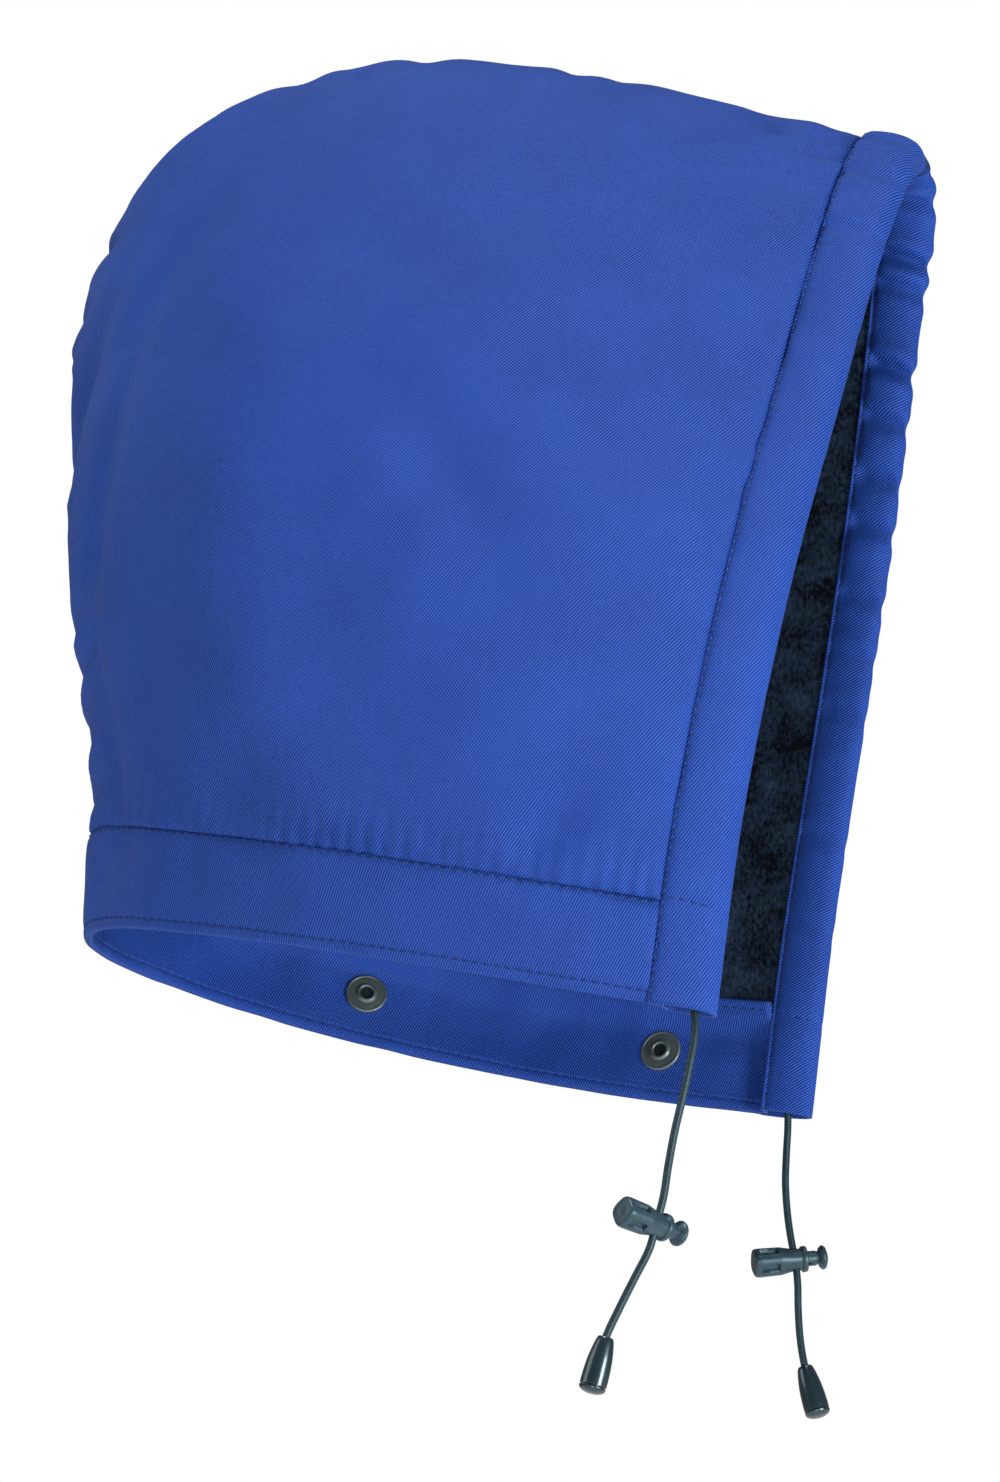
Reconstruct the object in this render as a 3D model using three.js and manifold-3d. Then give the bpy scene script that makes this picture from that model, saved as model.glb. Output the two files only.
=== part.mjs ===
// A padded, detachable work hood: twill side panels, a pile lining, a drawcord casing round the face,
// a neck band with press studs, and two drawcord ends with cord locks and bells.
// Millimetres, +Z up. The face opening looks towards -Y and the wearer's right side is at -X.
// The origin is the inside of the crown, where the wearer's head holds the hood up.
import * as THREE from "three";
import { mergeVertices } from "three/addons/utils/BufferGeometryUtils.js";
import Module from "manifold-3d";

const wasm = await Module();
wasm.setup();

// Size of the hood as it is worn
const hood_height = 380;
const hood_depth = 312;
const hood_half_width = 87;
const side_fullness = 0.258;
const back_fullness = 0.328;
const face_roundness = 2.3;
const crown_roundness = 3.36;

// Cloth walls and the clearance between pieces that lie against each other
const clearance = 0.3;
const shell_wall = 5;
const lining_wall = 3;
const band_wall = 3.5;
const band_set_in = 1;

// Casing round the face, and neck band
const casing_width = 21;
const casing_inner_width = 16.5;
const casing_puff = 0.5;
const gather_depth = 1.1;
const gathers_a_side = 9;
const band_height = 33;
const band_ripple = 0.5;
const band_ripples_a_side = 4;

// Relief of the side panels
const fold_depth = 7;
const seam_pull = 1.8;
const seam_pull_reach = 8;
const pucker_depth = 1.1;
const pucker_reach = 16;
const puckers_crown = 9;
const puckers_face = 10;

// Press studs on the inside of the neck band
const stud_diameter = 15;
const stud_flange = 1.5;
const stud_bevel = 0.8;
const stud_ring_outer = 7;
const stud_ring_inner = 4.6;
const stud_ring_height = 2.1;
const stud_cup_floor = 0.5;
const stud_shank_diameter = 4.4;
const stud_shank_length = 1.4;
const stud_sunk = 0.5;
const stud_above_hem = 18.5;
const stud_places = [{ name: "front", from_face: 60.5 }, { name: "back", from_face: 174 }];

// Drawcord
const cord_diameter = 2.6;
const mouth_depth = 9;

// Cord lock: a square barrel with four windows by its closed head, narrower where the cord goes through,
// and a sprung button whose stem slides in the barrel's bore
const lock_width = 8.8;
const lock_corner = 2.9;
const lock_waist = 7.4;
const lock_waist_slope = 3.5;
const lock_edge = 0.8;
const lock_barrel = 18.6;
const lock_collar_diameter = 9;
const lock_collar_length = 1.6;
const lock_floor = 1.8;
const lock_hole_at = 14.6;
const lock_window_width = 2.6;
const lock_window_length = 6.4;
const lock_travel = 3;
const lock_stem_diameter = 5.2;
const lock_stem_start = 9;
const lock_stem_shown = 4;
const lock_neck_diameter = 4.2;
const lock_button_diameter = 8.6;
const lock_button_length = 3.2;

// Bell at each cord end, closed by a domed plug with a spigot
const bell_length = 15.6;
const bell_top_diameter = 4.8;
const bell_base_diameter = 8.6;
const bell_cord_depth = 9;
const plug_spigot_diameter = 6;
const plug_seat = 1.6;
const plug_dome = 2.5;

// Outlines seen from the side. back is a share of hood_depth behind the origin, up is a share of hood_height
// above the cloth over the origin.
const neck_line = [
  { back: -0.351, up: -1.0 },
  { back: -0.16, up: -0.968 },
  { back: 0.035, up: -0.931 },
  { back: 0.231, up: -0.888 },
  { back: 0.417, up: -0.842 },
];
const face_line = [
  { back: -0.351, up: -1.0 },
  { back: -0.384, up: -0.821 },
  { back: -0.431, up: -0.626 },
  { back: -0.484, up: -0.426 },
  { back: -0.553, up: -0.145 },
];
const seam_line = [
  { back: 0.417, up: -0.842 },
  { back: 0.406, up: -0.711 },
  { back: 0.422, up: -0.587 },
  { back: 0.44, up: -0.463 },
  { back: 0.445, up: -0.338 },
  { back: 0.434, up: -0.217 },
  { back: 0.384, up: -0.103 },
  { back: 0.28, up: -0.025 },
  { back: 0.137, up: 0.003 },
  { back: 0, up: 0 },
  { back: -0.164, up: -0.028 },
  { back: -0.353, up: -0.083 },
  { back: -0.553, up: -0.145 },
];
const seam_turn = 0.5;

// Half width from the face edge to the back seam, as the square of its share of hood_half_width.
const width_line = [
  { square: 0.775 },
  { square: 0.886 },
  { square: 0.972 },
  { square: 1.007 },
  { square: 0.958 },
  { square: 0.835 },
  { square: 0.634 },
  { square: 0.384 },
  { square: 0 },
];

// Dents and folds of the side panels. at_back and at_up are shares of the way from the face to the back seam
// and from the neck to the crown seam. long and wide are shares of hood_height, lean is in degrees from
// upright, towards the back, and deep is a share of fold_depth.
const dents = [
  { at_back: 0.5, at_up: 0.3, long: 0.16, wide: 0.07, lean: 35, deep: 0.55 },
  { at_back: 0.34, at_up: 0.5, long: 0.12, wide: 0.04, lean: 25, deep: 0.35 },
  { at_back: 0.9, at_up: 0.2, long: 0.1, wide: 0.016, lean: 12, deep: 0.5 },
  { at_back: 0.86, at_up: 0.45, long: 0.16, wide: 0.018, lean: -14, deep: 0.55 },
  { at_back: 0.93, at_up: 0.62, long: 0.12, wide: 0.016, lean: -24, deep: 0.5 },
  { at_back: 0.76, at_up: 0.72, long: 0.12, wide: 0.03, lean: -38, deep: 0.35 },
  { at_back: 0.22, at_up: 0.16, long: 0.06, wide: 0.025, lean: -40, deep: 0.4 },
  { at_back: 0.66, at_up: 0.14, long: 0.05, wide: 0.03, lean: 20, deep: 0.35 },
  { at_back: 0.62, at_up: 0.45, long: 0.2, wide: 0.1, lean: 5, deep: -0.5 },
  { at_back: 0.28, at_up: 0.76, long: 0.12, wide: 0.06, lean: -50, deep: -0.3 },
];

// Casing section: in is a share of the whole wall. from is a share of casing_width behind the face edge,
// or of casing_inner_width in the rows inside the hood. The pile lining laps over the step behind them.
const casing_section = [
  { from: 1, in: 0.1, puff: 0, inside: false },
  { from: 0.86, in: 0.14, puff: 0, inside: false },
  { from: 0.5, in: 0, puff: -1, inside: false },
  { from: 0.14, in: 0.1, puff: -0.3, inside: false },
  { from: 0, in: 0.5, puff: 0, inside: false },
  { from: 0.14, in: 0.9, puff: 0.3, inside: true },
  { from: 0.5, in: 1, puff: 1, inside: true },
  { from: 0.86, in: 0.86, puff: 0, inside: true },
  { from: 1, in: 0.9, puff: 0, inside: true },
  { from: 1, in: 0.56, puff: 0, inside: true },
  { from: 1, in: 0.56, puff: 0, inside: false },
];

// Band section: up is a share of band_height above the hem, in is a share of band_wall.
const band_section = [
  { up: 1, in: 0 },
  { up: 0.5, in: -0.1 },
  { up: 0.03, in: 0.1 },
  { up: 0, in: 0.5 },
  { up: 0.03, in: 0.9 },
  { up: 0.5, in: 1.02 },
  { up: 1, in: 1 },
];

// Drawcord routes, from inside the casing's open end down to inside the bell.
// The cord lock sits at the row with a swing: its button points to the face, turned about the cord by so many
// degrees, towards the wearer's left where that is more than 0.
const cord_routes = {
  right: [
    { x: -73.2, y: -102.7, z: -365.5 },
    { x: -73.9, y: -103.2, z: -376 },
    { x: -74.4, y: -101.7, z: -386 },
    { x: -74.4, y: -99.2, z: -397 },
    { x: -74.4, y: -96.2, z: -409 },
    { x: -74.4, y: -94, z: -420 },
    { x: -74.4, y: -92.4, z: -429.5 },
    { x: -74.4, y: -89.9, z: -438.3, swing: 55 },
    { x: -74.4, y: -87.5, z: -446.3 },
    { x: -74.4, y: -83, z: -454.6 },
    { x: -74.4, y: -78, z: -463.9 },
    { x: -74.4, y: -73.4, z: -473.2 },
    { x: -74.4, y: -71, z: -481.5 },
  ],
  left: [
    { x: 73.2, y: -101.4, z: -365.5 },
    { x: 73.9, y: -101, z: -375 },
    { x: 74.4, y: -100.2, z: -384 },
    { x: 74.4, y: -99.7, z: -394 },
    { x: 74.4, y: -100.2, z: -404.5 },
    { x: 74.4, y: -101.2, z: -413 },
    { x: 74.4, y: -102.5, z: -420.8, swing: 24 },
    { x: 74.4, y: -103.3, z: -429 },
    { x: 74.4, y: -103.3, z: -438 },
    { x: 74.4, y: -103.8, z: -448.5 },
    { x: 74.4, y: -105.2, z: -457.9 },
    { x: 74.4, y: -107.4, z: -466.3 },
  ],
};

const whole_wall = shell_wall + clearance + lining_wall;
const panel_cells = 24;
const full_turn = 2 * Math.PI;

const cloth_blue = { color: 0x2f54a5, roughness: 0.8, metalness: 0 };
const pile_navy = { color: 0x192630, roughness: 1, metalness: 0 };
const gunmetal = { color: 0x4a4f55, roughness: 0.35, metalness: 0.9 };
const cord_black = { color: 0x14201f, roughness: 0.7, metalness: 0 };
const plastic_grey = { color: 0x3a3d40, roughness: 0.55, metalness: 0 };
const plastic_gloss = { color: 0x1c2022, roughness: 0.2, metalness: 0 };

const hood = new THREE.Group();

function add(name, geometry, look) {
  const mesh = new THREE.Mesh(geometry, new THREE.MeshStandardMaterial(look));
  mesh.name = name;
  hood.add(mesh);
  return mesh;
}

// A smooth curve through the rows of a table, for a share t of its length from 0 to 1.
function along(rows, t) {
  const last = rows.length - 1;
  const place = Math.min(Math.max(t, 0), 1) * last;
  const i = Math.min(Math.floor(place), last - 1);
  const f = place - i;
  const row = (k, key) => {
    if (k < 0) return 2 * rows[0][key] - rows[1][key];
    if (k > last) return 2 * rows[last][key] - rows[last - 1][key];
    return rows[k][key];
  };
  const out = {};
  for (const key of Object.keys(rows[0])) {
    const [p, q, r, s] = [i - 1, i, i + 1, i + 2].map((k) => row(k, key));
    const bend = (2 * p - 5 * q + 4 * r - s) * f * f;
    const twist = (3 * q - p - 3 * r + s) * f * f * f;
    out[key] = 0.5 * (2 * q + (r - p) * f + bend + twist);
  }
  return out;
}

// Side view of one half: u runs from the face edge to the back seam, v from the neck to the crown seam.
function side_view(u, v) {
  const low = along(neck_line, u);
  const high = along(seam_line, 1 - u * (1 - seam_turn));
  const front = along(face_line, v);
  const rear = along(seam_line, v * seam_turn);
  const corner = along(seam_line, seam_turn);
  const blend = (key) =>
    (1 - v) * low[key] + v * high[key] + (1 - u) * front[key] + u * rear[key] -
    (1 - u) * (1 - v) * neck_line[0][key] - u * (1 - v) * seam_line[0][key] -
    (1 - u) * v * face_line[face_line.length - 1][key] - u * v * corner[key];
  return { back: blend("back"), up: blend("up") };
}

// Point of the plain outer surface. a and b count as u and v do, but even out the steps round the seams,
// and run past 1 onto the other half.
function outer_point(side, a, b) {
  const u = Math.sin((a * Math.PI) / 2);
  const v = Math.sin((b * Math.PI) / 2);
  const roundness = face_roundness + (crown_roundness - face_roundness) * Math.sin(Math.PI * u);
  const square = Math.max(along(width_line, u).square, 0) * (1 - Math.pow(v, roundness));
  const swell = side_fullness * Math.sin(Math.PI * u) + back_fullness * u * u;
  const bulge = 1 + swell * Math.sin(Math.PI * v);
  const other_half = a > 1 !== b > 1 ? -1 : 1;
  const out = side_view(u, v);
  return new THREE.Vector3(
    side * other_half * hood_half_width * Math.sqrt(Math.max(square, 0)) * bulge,
    out.back * hood_depth,
    out.up * hood_height + whole_wall,
  );
}

function outward(side, a, b) {
  const step = 0.004;
  const at = [Math.min(a, a > 0.99 && b > 0.99 ? 0.985 : 1), b];
  const span = (move_a, move_b) =>
    outer_point(side, at[0] + move_a, at[1] + move_b)
      .sub(outer_point(side, Math.max(at[0] - move_a, 0), Math.max(at[1] - move_b, 0)));
  const normal = span(step, 0).cross(span(0, step)).multiplyScalar(side);
  if (a >= 1 || b >= 1) normal.x = 0;
  return normal.normalize();
}

// Share a that lies a length behind the face edge at height b, and share b that lies a length above the hem.
function behind_face(b, length) {
  return walk(length, (t) => outer_point(1, t, b));
}
function above_hem(a, length) {
  return walk(length, (t) => outer_point(1, a, t));
}
function walk(length, point) {
  const steps = 80;
  let gone = 0;
  let from = point(0);
  for (let i = 1; i <= steps; i++) {
    const to = point(i / steps);
    const stride = to.distanceTo(from);
    if (gone + stride >= length) return (i - 1 + (length - gone) / stride) / steps;
    gone += stride;
    from = to;
  }
  return 1;
}

// Place on a panel: share_back from its front edge to the back seam, share_up from the band to the crown seam
function panel_place(share_back, share_up, hem_height, front = casing_width) {
  let a = share_back;
  let b = share_up;
  for (let i = 0; i < 5; i++) {
    const start_a = behind_face(b, front + clearance);
    const start_b = above_hem(a, hem_height);
    a = start_a + (1 - start_a) * share_back;
    b = start_b + (1 - start_b) * share_up;
  }
  return { a, b };
}

// Large dents move every layer of a side together.
const dent_places = dents.map((dent) => {
  const a = (Math.asin(dent.at_back) * 2) / Math.PI;
  const b = (Math.asin(dent.at_up) * 2) / Math.PI;
  return outer_point(1, a, b);
});
function dented(point) {
  let out = 0;
  dents.forEach((dent, i) => {
    const lean = (dent.lean * Math.PI) / 180;
    const back = (point.y - dent_places[i].y) / hood_height;
    const up = (point.z - dent_places[i].z) / hood_height;
    const lengthways = up * Math.cos(lean) + back * Math.sin(lean);
    const across = back * Math.cos(lean) - up * Math.sin(lean);
    const reach = (lengthways / dent.long) ** 2 + (across / dent.wide) ** 2;
    const seam_fade = Math.min(1, Math.abs(point.x) / (hood_half_width / 4));
    out -= dent.deep * fold_depth * seam_fade * Math.exp(-reach);
  });
  return out;
}

// Fine relief of the outer skin: the seams pull it in, and puckers run off the crown and casing seams.
function puckered(point, share_back, share_up, lengths) {
  const to_face = share_back * lengths.back;
  const to_seam = Math.min((1 - share_back) * lengths.back, (1 - share_up) * lengths.up);
  const to_band = share_up * lengths.up;
  const pull = [to_face, to_seam, to_band].map((gap) => Math.exp(-gap / seam_pull_reach));
  const crown_wave = Math.sin(full_turn * puckers_crown * (share_back - share_up));
  const face_wave = Math.sin(full_turn * puckers_face * share_up + 1);
  const puckers =
    crown_wave * Math.exp(-to_seam / pucker_reach) + 0.6 * face_wave * Math.exp(-to_face / pucker_reach);
  return -seam_pull * Math.max(...pull) + pucker_depth * puckers;
}

function cloth_point(side, a, b, depth, seam_gap = 0) {
  const point = outer_point(side, a, b);
  const lift = dented(point) - depth;
  point.addScaledVector(outward(side, a, b), lift);
  point.x += (side * seam_gap) / 2;
  return point;
}

// One column of points up a side, at one depth of the wall, for a layer whose front edge lies front behind
// the face edge
function column(side, share_back, cells, depth, front, fine) {
  const lengths = { back: hood_depth * 0.85, up: hood_height * 0.8 };
  return Array.from({ length: cells + 1 }, (_, j) => {
    const { a, b } = panel_place(share_back, j / cells, band_height + clearance, front);
    const relief = fine ? puckered(outer_point(side, a, b), share_back, j / cells, lengths) : 0;
    return cloth_point(side, a, b, depth - relief, clearance);
  });
}
// A grid of cells by cells squares over one side
function skin(side, cells, depth, fine) {
  const one = (_, i) => column(side, i / cells, cells, depth, casing_width, fine);
  return Array.from({ length: cells + 1 }, one);
}

// Triangles are gathered as triples of points and turned over where flip is true.
function face(list, flip, ...corners) {
  for (let k = 1; k + 1 < corners.length; k++) {
    const [p, q, r] = [corners[0], corners[k], corners[k + 1]];
    list.push(...(flip ? [p, r, q] : [p, q, r]));
  }
}
function cover(list, grid, flip) {
  for (let i = 0; i + 1 < grid.length; i++)
    for (let j = 0; j + 1 < grid[0].length; j++)
      face(list, flip, grid[i][j], grid[i + 1][j], grid[i + 1][j + 1], grid[i][j + 1]);
}
// Closes the edge between an outer row of points and an inner row with as many or half as many.
function rim(list, outer, inner, flip) {
  const many = (outer.length - 1) / (inner.length - 1);
  for (let k = 0; k + 1 < inner.length; k++) {
    const run = outer.slice(k * many, (k + 1) * many + 1);
    face(list, flip, inner[k], ...run, inner[k + 1]);
  }
}
function geometry_of(points) {
  return new THREE.BufferGeometry().setFromPoints(points);
}

const first_column = (grid) => grid.map((row) => row[0]);
const last_column = (grid) => grid.map((row) => row[row.length - 1]);

// One side of a layer of cloth: an outer and an inner skin, closed all round their edge.
function layer(side, outer, inner) {
  const flip = side < 0;
  const list = [];
  cover(list, outer, flip);
  cover(list, inner, !flip);
  rim(list, outer[0], inner[0], flip);
  rim(list, outer[outer.length - 1], inner[inner.length - 1], !flip);
  rim(list, first_column(outer), first_column(inner), !flip);
  rim(list, last_column(outer), last_column(inner), flip);
  return geometry_of(list);
}

// Side panel, with a fine outer skin and a plainer inner one
function side_panel(side) {
  const outer = skin(side, panel_cells, 0, true);
  return layer(side, outer, skin(side, panel_cells / 2, shell_wall, false));
}

// Pile lining of one side, which reaches one column further forward than the panel does
function side_lining(side) {
  const cells = panel_cells / 2;
  const grid = (depth) => {
    const front = column(side, 0, cells, depth, casing_inner_width, false);
    return [front, ...skin(side, cells, depth, false)];
  };
  return layer(side, grid(shell_wall + clearance), grid(whole_wall));
}

// A closed sweep: rings of points, joined in order and capped at both ends.
function swept(rings) {
  const list = [];
  const around = rings[0].length;
  for (let i = 0; i + 1 < rings.length; i++)
    for (let k = 0; k < around; k++) {
      const next = (k + 1) % around;
      face(list, false, rings[i][k], rings[i][next], rings[i + 1][next], rings[i + 1][k]);
    }
  cap(list, rings[0], false);
  cap(list, rings[rings.length - 1], true);
  return geometry_of(list);
}
// A cap joins the points of a section pair by pair, so that it stays within a bent outline.
function cap(list, ring, flip) {
  let low = 0;
  let high = ring.length - 1;
  while (high - low > 1) {
    face(list, !flip, ring[low], ring[low + 1], ring[high]);
    low += 1;
    if (high - low > 1) face(list, !flip, ring[low], ring[high - 1], ring[high]);
    high -= 1;
  }
}

// Casing round the face, from the hem on the right over the brow to the hem on the left.
function casing_ring(side, b) {
  const height = Math.sin((b * Math.PI) / 2);
  const wave = Math.sin(full_turn * gathers_a_side * height);
  const gather = gather_depth * height * height * wave * (1 - Math.pow(height, 12));
  return casing_section.map((row) => {
    const a = behind_face(b, row.from * (row.inside ? casing_inner_width : casing_width));
    const puff = row.puff * (casing_puff + gather);
    return cloth_point(side, a, b, row.in * whole_wall + puff);
  });
}
function casing_heights() {
  const band_rows = 3;
  const top = Array.from({ length: panel_cells + 1 }, (_, j) =>
    panel_place(0, j / panel_cells, band_height + clearance).b);
  const low = Array.from({ length: band_rows }, (_, j) => (top[0] * j) / band_rows);
  return [...low, ...top];
}
function face_casing() {
  const heights = casing_heights();
  const right = heights.map((b) => casing_ring(-1, b));
  const left = heights.slice(0, -1).reverse().map((b) => casing_ring(1, b));
  return swept([...right, ...left]);
}

// Neck band, from behind the right casing round the back to behind the left casing.
function band_ring(side, share_back) {
  const ripple = band_ripple * Math.sin(full_turn * band_ripples_a_side * share_back);
  return band_section.map((row) => {
    const { a, b } = panel_place(share_back, 0, row.up * band_height);
    const wavy = ripple * (1 - row.up) * Math.sin(Math.PI * share_back);
    return cloth_point(side, a, b, band_set_in + row.in * band_wall + wavy);
  });
}
function band_cloth() {
  const shares = Array.from({ length: panel_cells + 1 }, (_, i) => i / panel_cells);
  const right = shares.map((share) => band_ring(-1, share));
  const left = shares.slice(0, -1).reverse().map((share) => band_ring(1, share));
  return swept([...right, ...left].map((ring) => [...ring].reverse()));
}

// Cuts and joins
function solid(geometry) {
  const bare = geometry.clone();
  bare.deleteAttribute("normal");
  bare.deleteAttribute("uv");
  const merged = mergeVertices(bare, 1e-4);
  return new wasm.Manifold(
    new wasm.Mesh({
      numProp: 3,
      vertProperties: merged.attributes.position.array,
      triVerts: new Uint32Array(merged.index.array),
    }),
  );
}
function geometry_from(made) {
  const mesh = made.getMesh();
  const out = new THREE.BufferGeometry();
  out.setAttribute("position", new THREE.BufferAttribute(mesh.vertProperties, 3));
  out.setIndex(new THREE.BufferAttribute(mesh.triVerts, 1));
  return out;
}
function turned(profile, sides) {
  const points = profile.map((row) => new THREE.Vector2(row.r, row.z));
  return new THREE.LatheGeometry(points, sides).rotateX(Math.PI / 2);
}
function box_between(low, high) {
  const size = high.clone().sub(low);
  const middle = high.clone().add(low).multiplyScalar(0.5);
  return new THREE.BoxGeometry(size.x, size.y, size.z).translate(middle.x, middle.y, middle.z);
}
function rod(diameter, length, sides) {
  return new THREE.CylinderGeometry(diameter / 2, diameter / 2, length, sides);
}

// A frame whose local z runs along an axis and whose local x lies as near as it can to a given direction.
function frame_at(origin, axis, towards) {
  const z = axis.clone().normalize();
  const x = towards.clone().addScaledVector(z, -towards.dot(z)).normalize();
  const y = z.clone().cross(x);
  return new THREE.Matrix4().makeBasis(x, y, z).setPosition(origin);
}

// Press stud: flange, raised ring round a cup, and a shank that holds it in the band.
const stud_profile = [
  { r: 0, z: -stud_shank_length },
  { r: stud_shank_diameter / 2, z: -stud_shank_length },
  { r: stud_shank_diameter / 2, z: 0 },
  { r: stud_diameter / 2, z: 0 },
  { r: stud_diameter / 2, z: stud_flange - stud_bevel / 2 },
  { r: stud_diameter / 2 - stud_bevel, z: stud_flange },
  { r: stud_ring_outer / 2 + stud_bevel / 2, z: stud_flange - stud_bevel / 2 },
  { r: stud_ring_outer / 2, z: stud_ring_height },
  { r: stud_ring_inner / 2, z: stud_ring_height },
  { r: stud_ring_inner / 2, z: stud_cup_floor },
  { r: 0, z: stud_cup_floor },
];
const stud_seat_profile = [
  { r: 0, z: -stud_shank_length - clearance },
  { r: stud_shank_diameter / 2 + clearance, z: -stud_shank_length - clearance },
  { r: stud_shank_diameter / 2 + clearance, z: -clearance },
  { r: stud_diameter / 2 + clearance, z: -clearance },
  { r: stud_diameter / 2 + clearance, z: band_wall },
  { r: 0, z: band_wall },
];
const stud_sides = 16;

function stud_frame(side, from_face) {
  const b = above_hem(behind_face(0, from_face), stud_above_hem);
  const a = behind_face(b, from_face);
  const inwards = outward(side, a, b).negate();
  const seat = cloth_point(side, a, b, band_set_in + band_wall - stud_sunk);
  return frame_at(seat, inwards, new THREE.Vector3(0, 0, 1));
}

// Cloth pieces and studs
add("right_panel", side_panel(-1), cloth_blue);
add("left_panel", side_panel(1), cloth_blue);
add("right_lining", side_lining(-1), pile_navy);
add("left_lining", side_lining(1), pile_navy);

let band = solid(band_cloth());
for (const [side_name, side] of [["right", -1], ["left", 1]])
  for (const place of stud_places) {
    const frame = stud_frame(side, place.from_face);
    const seat = turned(stud_seat_profile, stud_sides).applyMatrix4(frame);
    band = band.subtract(solid(seat));
    const stud = turned(stud_profile, stud_sides).applyMatrix4(frame);
    add(`press_stud_${side_name}_${place.name}`, stud, gunmetal);
  }
add("neck_band", geometry_from(band), cloth_blue);

// Drawcords, each from inside the casing's mouth to inside its bell
const point_of = (row) => new THREE.Vector3(row.x, row.y, row.z);
const cord_sides = 8;
const cord_steps = 20;

function cord_tube(route) {
  const outline = new THREE.Shape();
  for (let k = 0; k < cord_sides; k++) {
    const turn = (full_turn * (k + 0.5)) / cord_sides;
    const x = (Math.cos(turn) * cord_diameter) / 2;
    const y = (Math.sin(turn) * cord_diameter) / 2;
    if (k === 0) outline.moveTo(x, y);
    else outline.lineTo(x, y);
  }
  outline.closePath();
  const extrudePath = new THREE.CatmullRomCurve3(route.map(point_of));
  return new THREE.ExtrudeGeometry(outline, { steps: cord_steps, extrudePath, bevelEnabled: false });
}

// Cord lock, drawn with its axis along z from the closed head to the button and the cord along x
const bore_diameter = lock_stem_diameter + 2 * clearance;
const cord_hole = cord_diameter + 2 * clearance;
const lock_length = lock_barrel + lock_stem_shown + lock_button_length;

// The barrel seen from one side, as a slab: z runs up the outline and waist is the width at the cord.
function lock_slab(waist) {
  const half = lock_width / 2;
  const shoulder = lock_hole_at - cord_hole / 2;
  const side = [
    [half - lock_edge, 0],
    [half, lock_edge],
    [half, shoulder - lock_waist_slope],
    [waist / 2, shoulder],
    [waist / 2, lock_barrel - lock_collar_length / 2],
  ];
  const outline = [...side, ...side.map(([x, z]) => [-x, z]).reverse()];
  const shape = new THREE.Shape(outline.map(([x, z]) => new THREE.Vector2(x, z)));
  const slab = new THREE.ExtrudeGeometry(shape, { depth: 2 * lock_width, bevelEnabled: false });
  return slab.translate(0, 0, -lock_width).rotateX(Math.PI / 2);
}

function lock_barrel_solid() {
  const square = new THREE.Shape();
  const straight = lock_width / 2 - lock_corner;
  for (let k = 0; k < 4; k++) {
    const turn = (k * Math.PI) / 2;
    const corner = new THREE.Vector2(straight, straight).rotateAround(new THREE.Vector2(), turn);
    square.absarc(corner.x, corner.y, lock_corner, turn, turn + Math.PI / 2);
  }
  square.closePath();
  const long = { depth: lock_barrel, bevelEnabled: false, curveSegments: 4 };
  const body = new THREE.ExtrudeGeometry(square, long);
  const across = lock_slab(lock_width).rotateZ(Math.PI / 2);
  const collar_start = lock_barrel - lock_collar_length;
  const collar = turned([
    { r: 0, z: collar_start - lock_edge },
    { r: lock_waist / 2, z: collar_start - lock_edge },
    { r: lock_collar_diameter / 2, z: collar_start },
    { r: lock_collar_diameter / 2, z: lock_barrel },
    { r: 0, z: lock_barrel },
  ], 16);
  const bore = rod(bore_diameter, lock_barrel, 14).rotateX(Math.PI / 2)
    .translate(0, 0, lock_floor + lock_barrel / 2);
  const hole = rod(cord_hole, 2 * lock_width, 12).rotateZ(Math.PI / 2).translate(0, 0, lock_hole_at);
  const window = box_between(
    new THREE.Vector3(-lock_window_width / 2, -lock_width, lock_floor + clearance),
    new THREE.Vector3(lock_window_width / 2, lock_width, lock_floor + clearance + lock_window_length),
  );
  const window_across = window.clone().rotateZ(Math.PI / 2);
  const outside = solid(body).intersect(solid(lock_slab(lock_waist))).intersect(solid(across));
  return [bore, hole, window, window_across].reduce(
    (made, cutter) => made.subtract(solid(cutter)),
    outside.add(solid(collar)),
  );
}

function lock_button_solid() {
  const stem = lock_stem_diameter / 2;
  const knob = lock_button_diameter / 2;
  const knob_start = lock_length - lock_button_length;
  const outside = turned([
    { r: 0, z: lock_stem_start },
    { r: stem, z: lock_stem_start },
    { r: stem, z: knob_start - lock_edge },
    { r: lock_neck_diameter / 2, z: knob_start },
    { r: knob * 0.86, z: knob_start + lock_edge },
    { r: knob, z: knob_start + lock_button_length * 0.5 },
    { r: knob * 0.9, z: knob_start + lock_button_length * 0.8 },
    { r: knob * 0.5, z: lock_length },
    { r: 0, z: lock_length },
  ], 14);
  const slot = box_between(
    new THREE.Vector3(-lock_width, -cord_hole / 2, lock_hole_at - cord_hole / 2),
    new THREE.Vector3(lock_width, cord_hole / 2, lock_hole_at + cord_hole / 2 + lock_travel),
  );
  return solid(outside).subtract(solid(slot));
}

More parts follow.
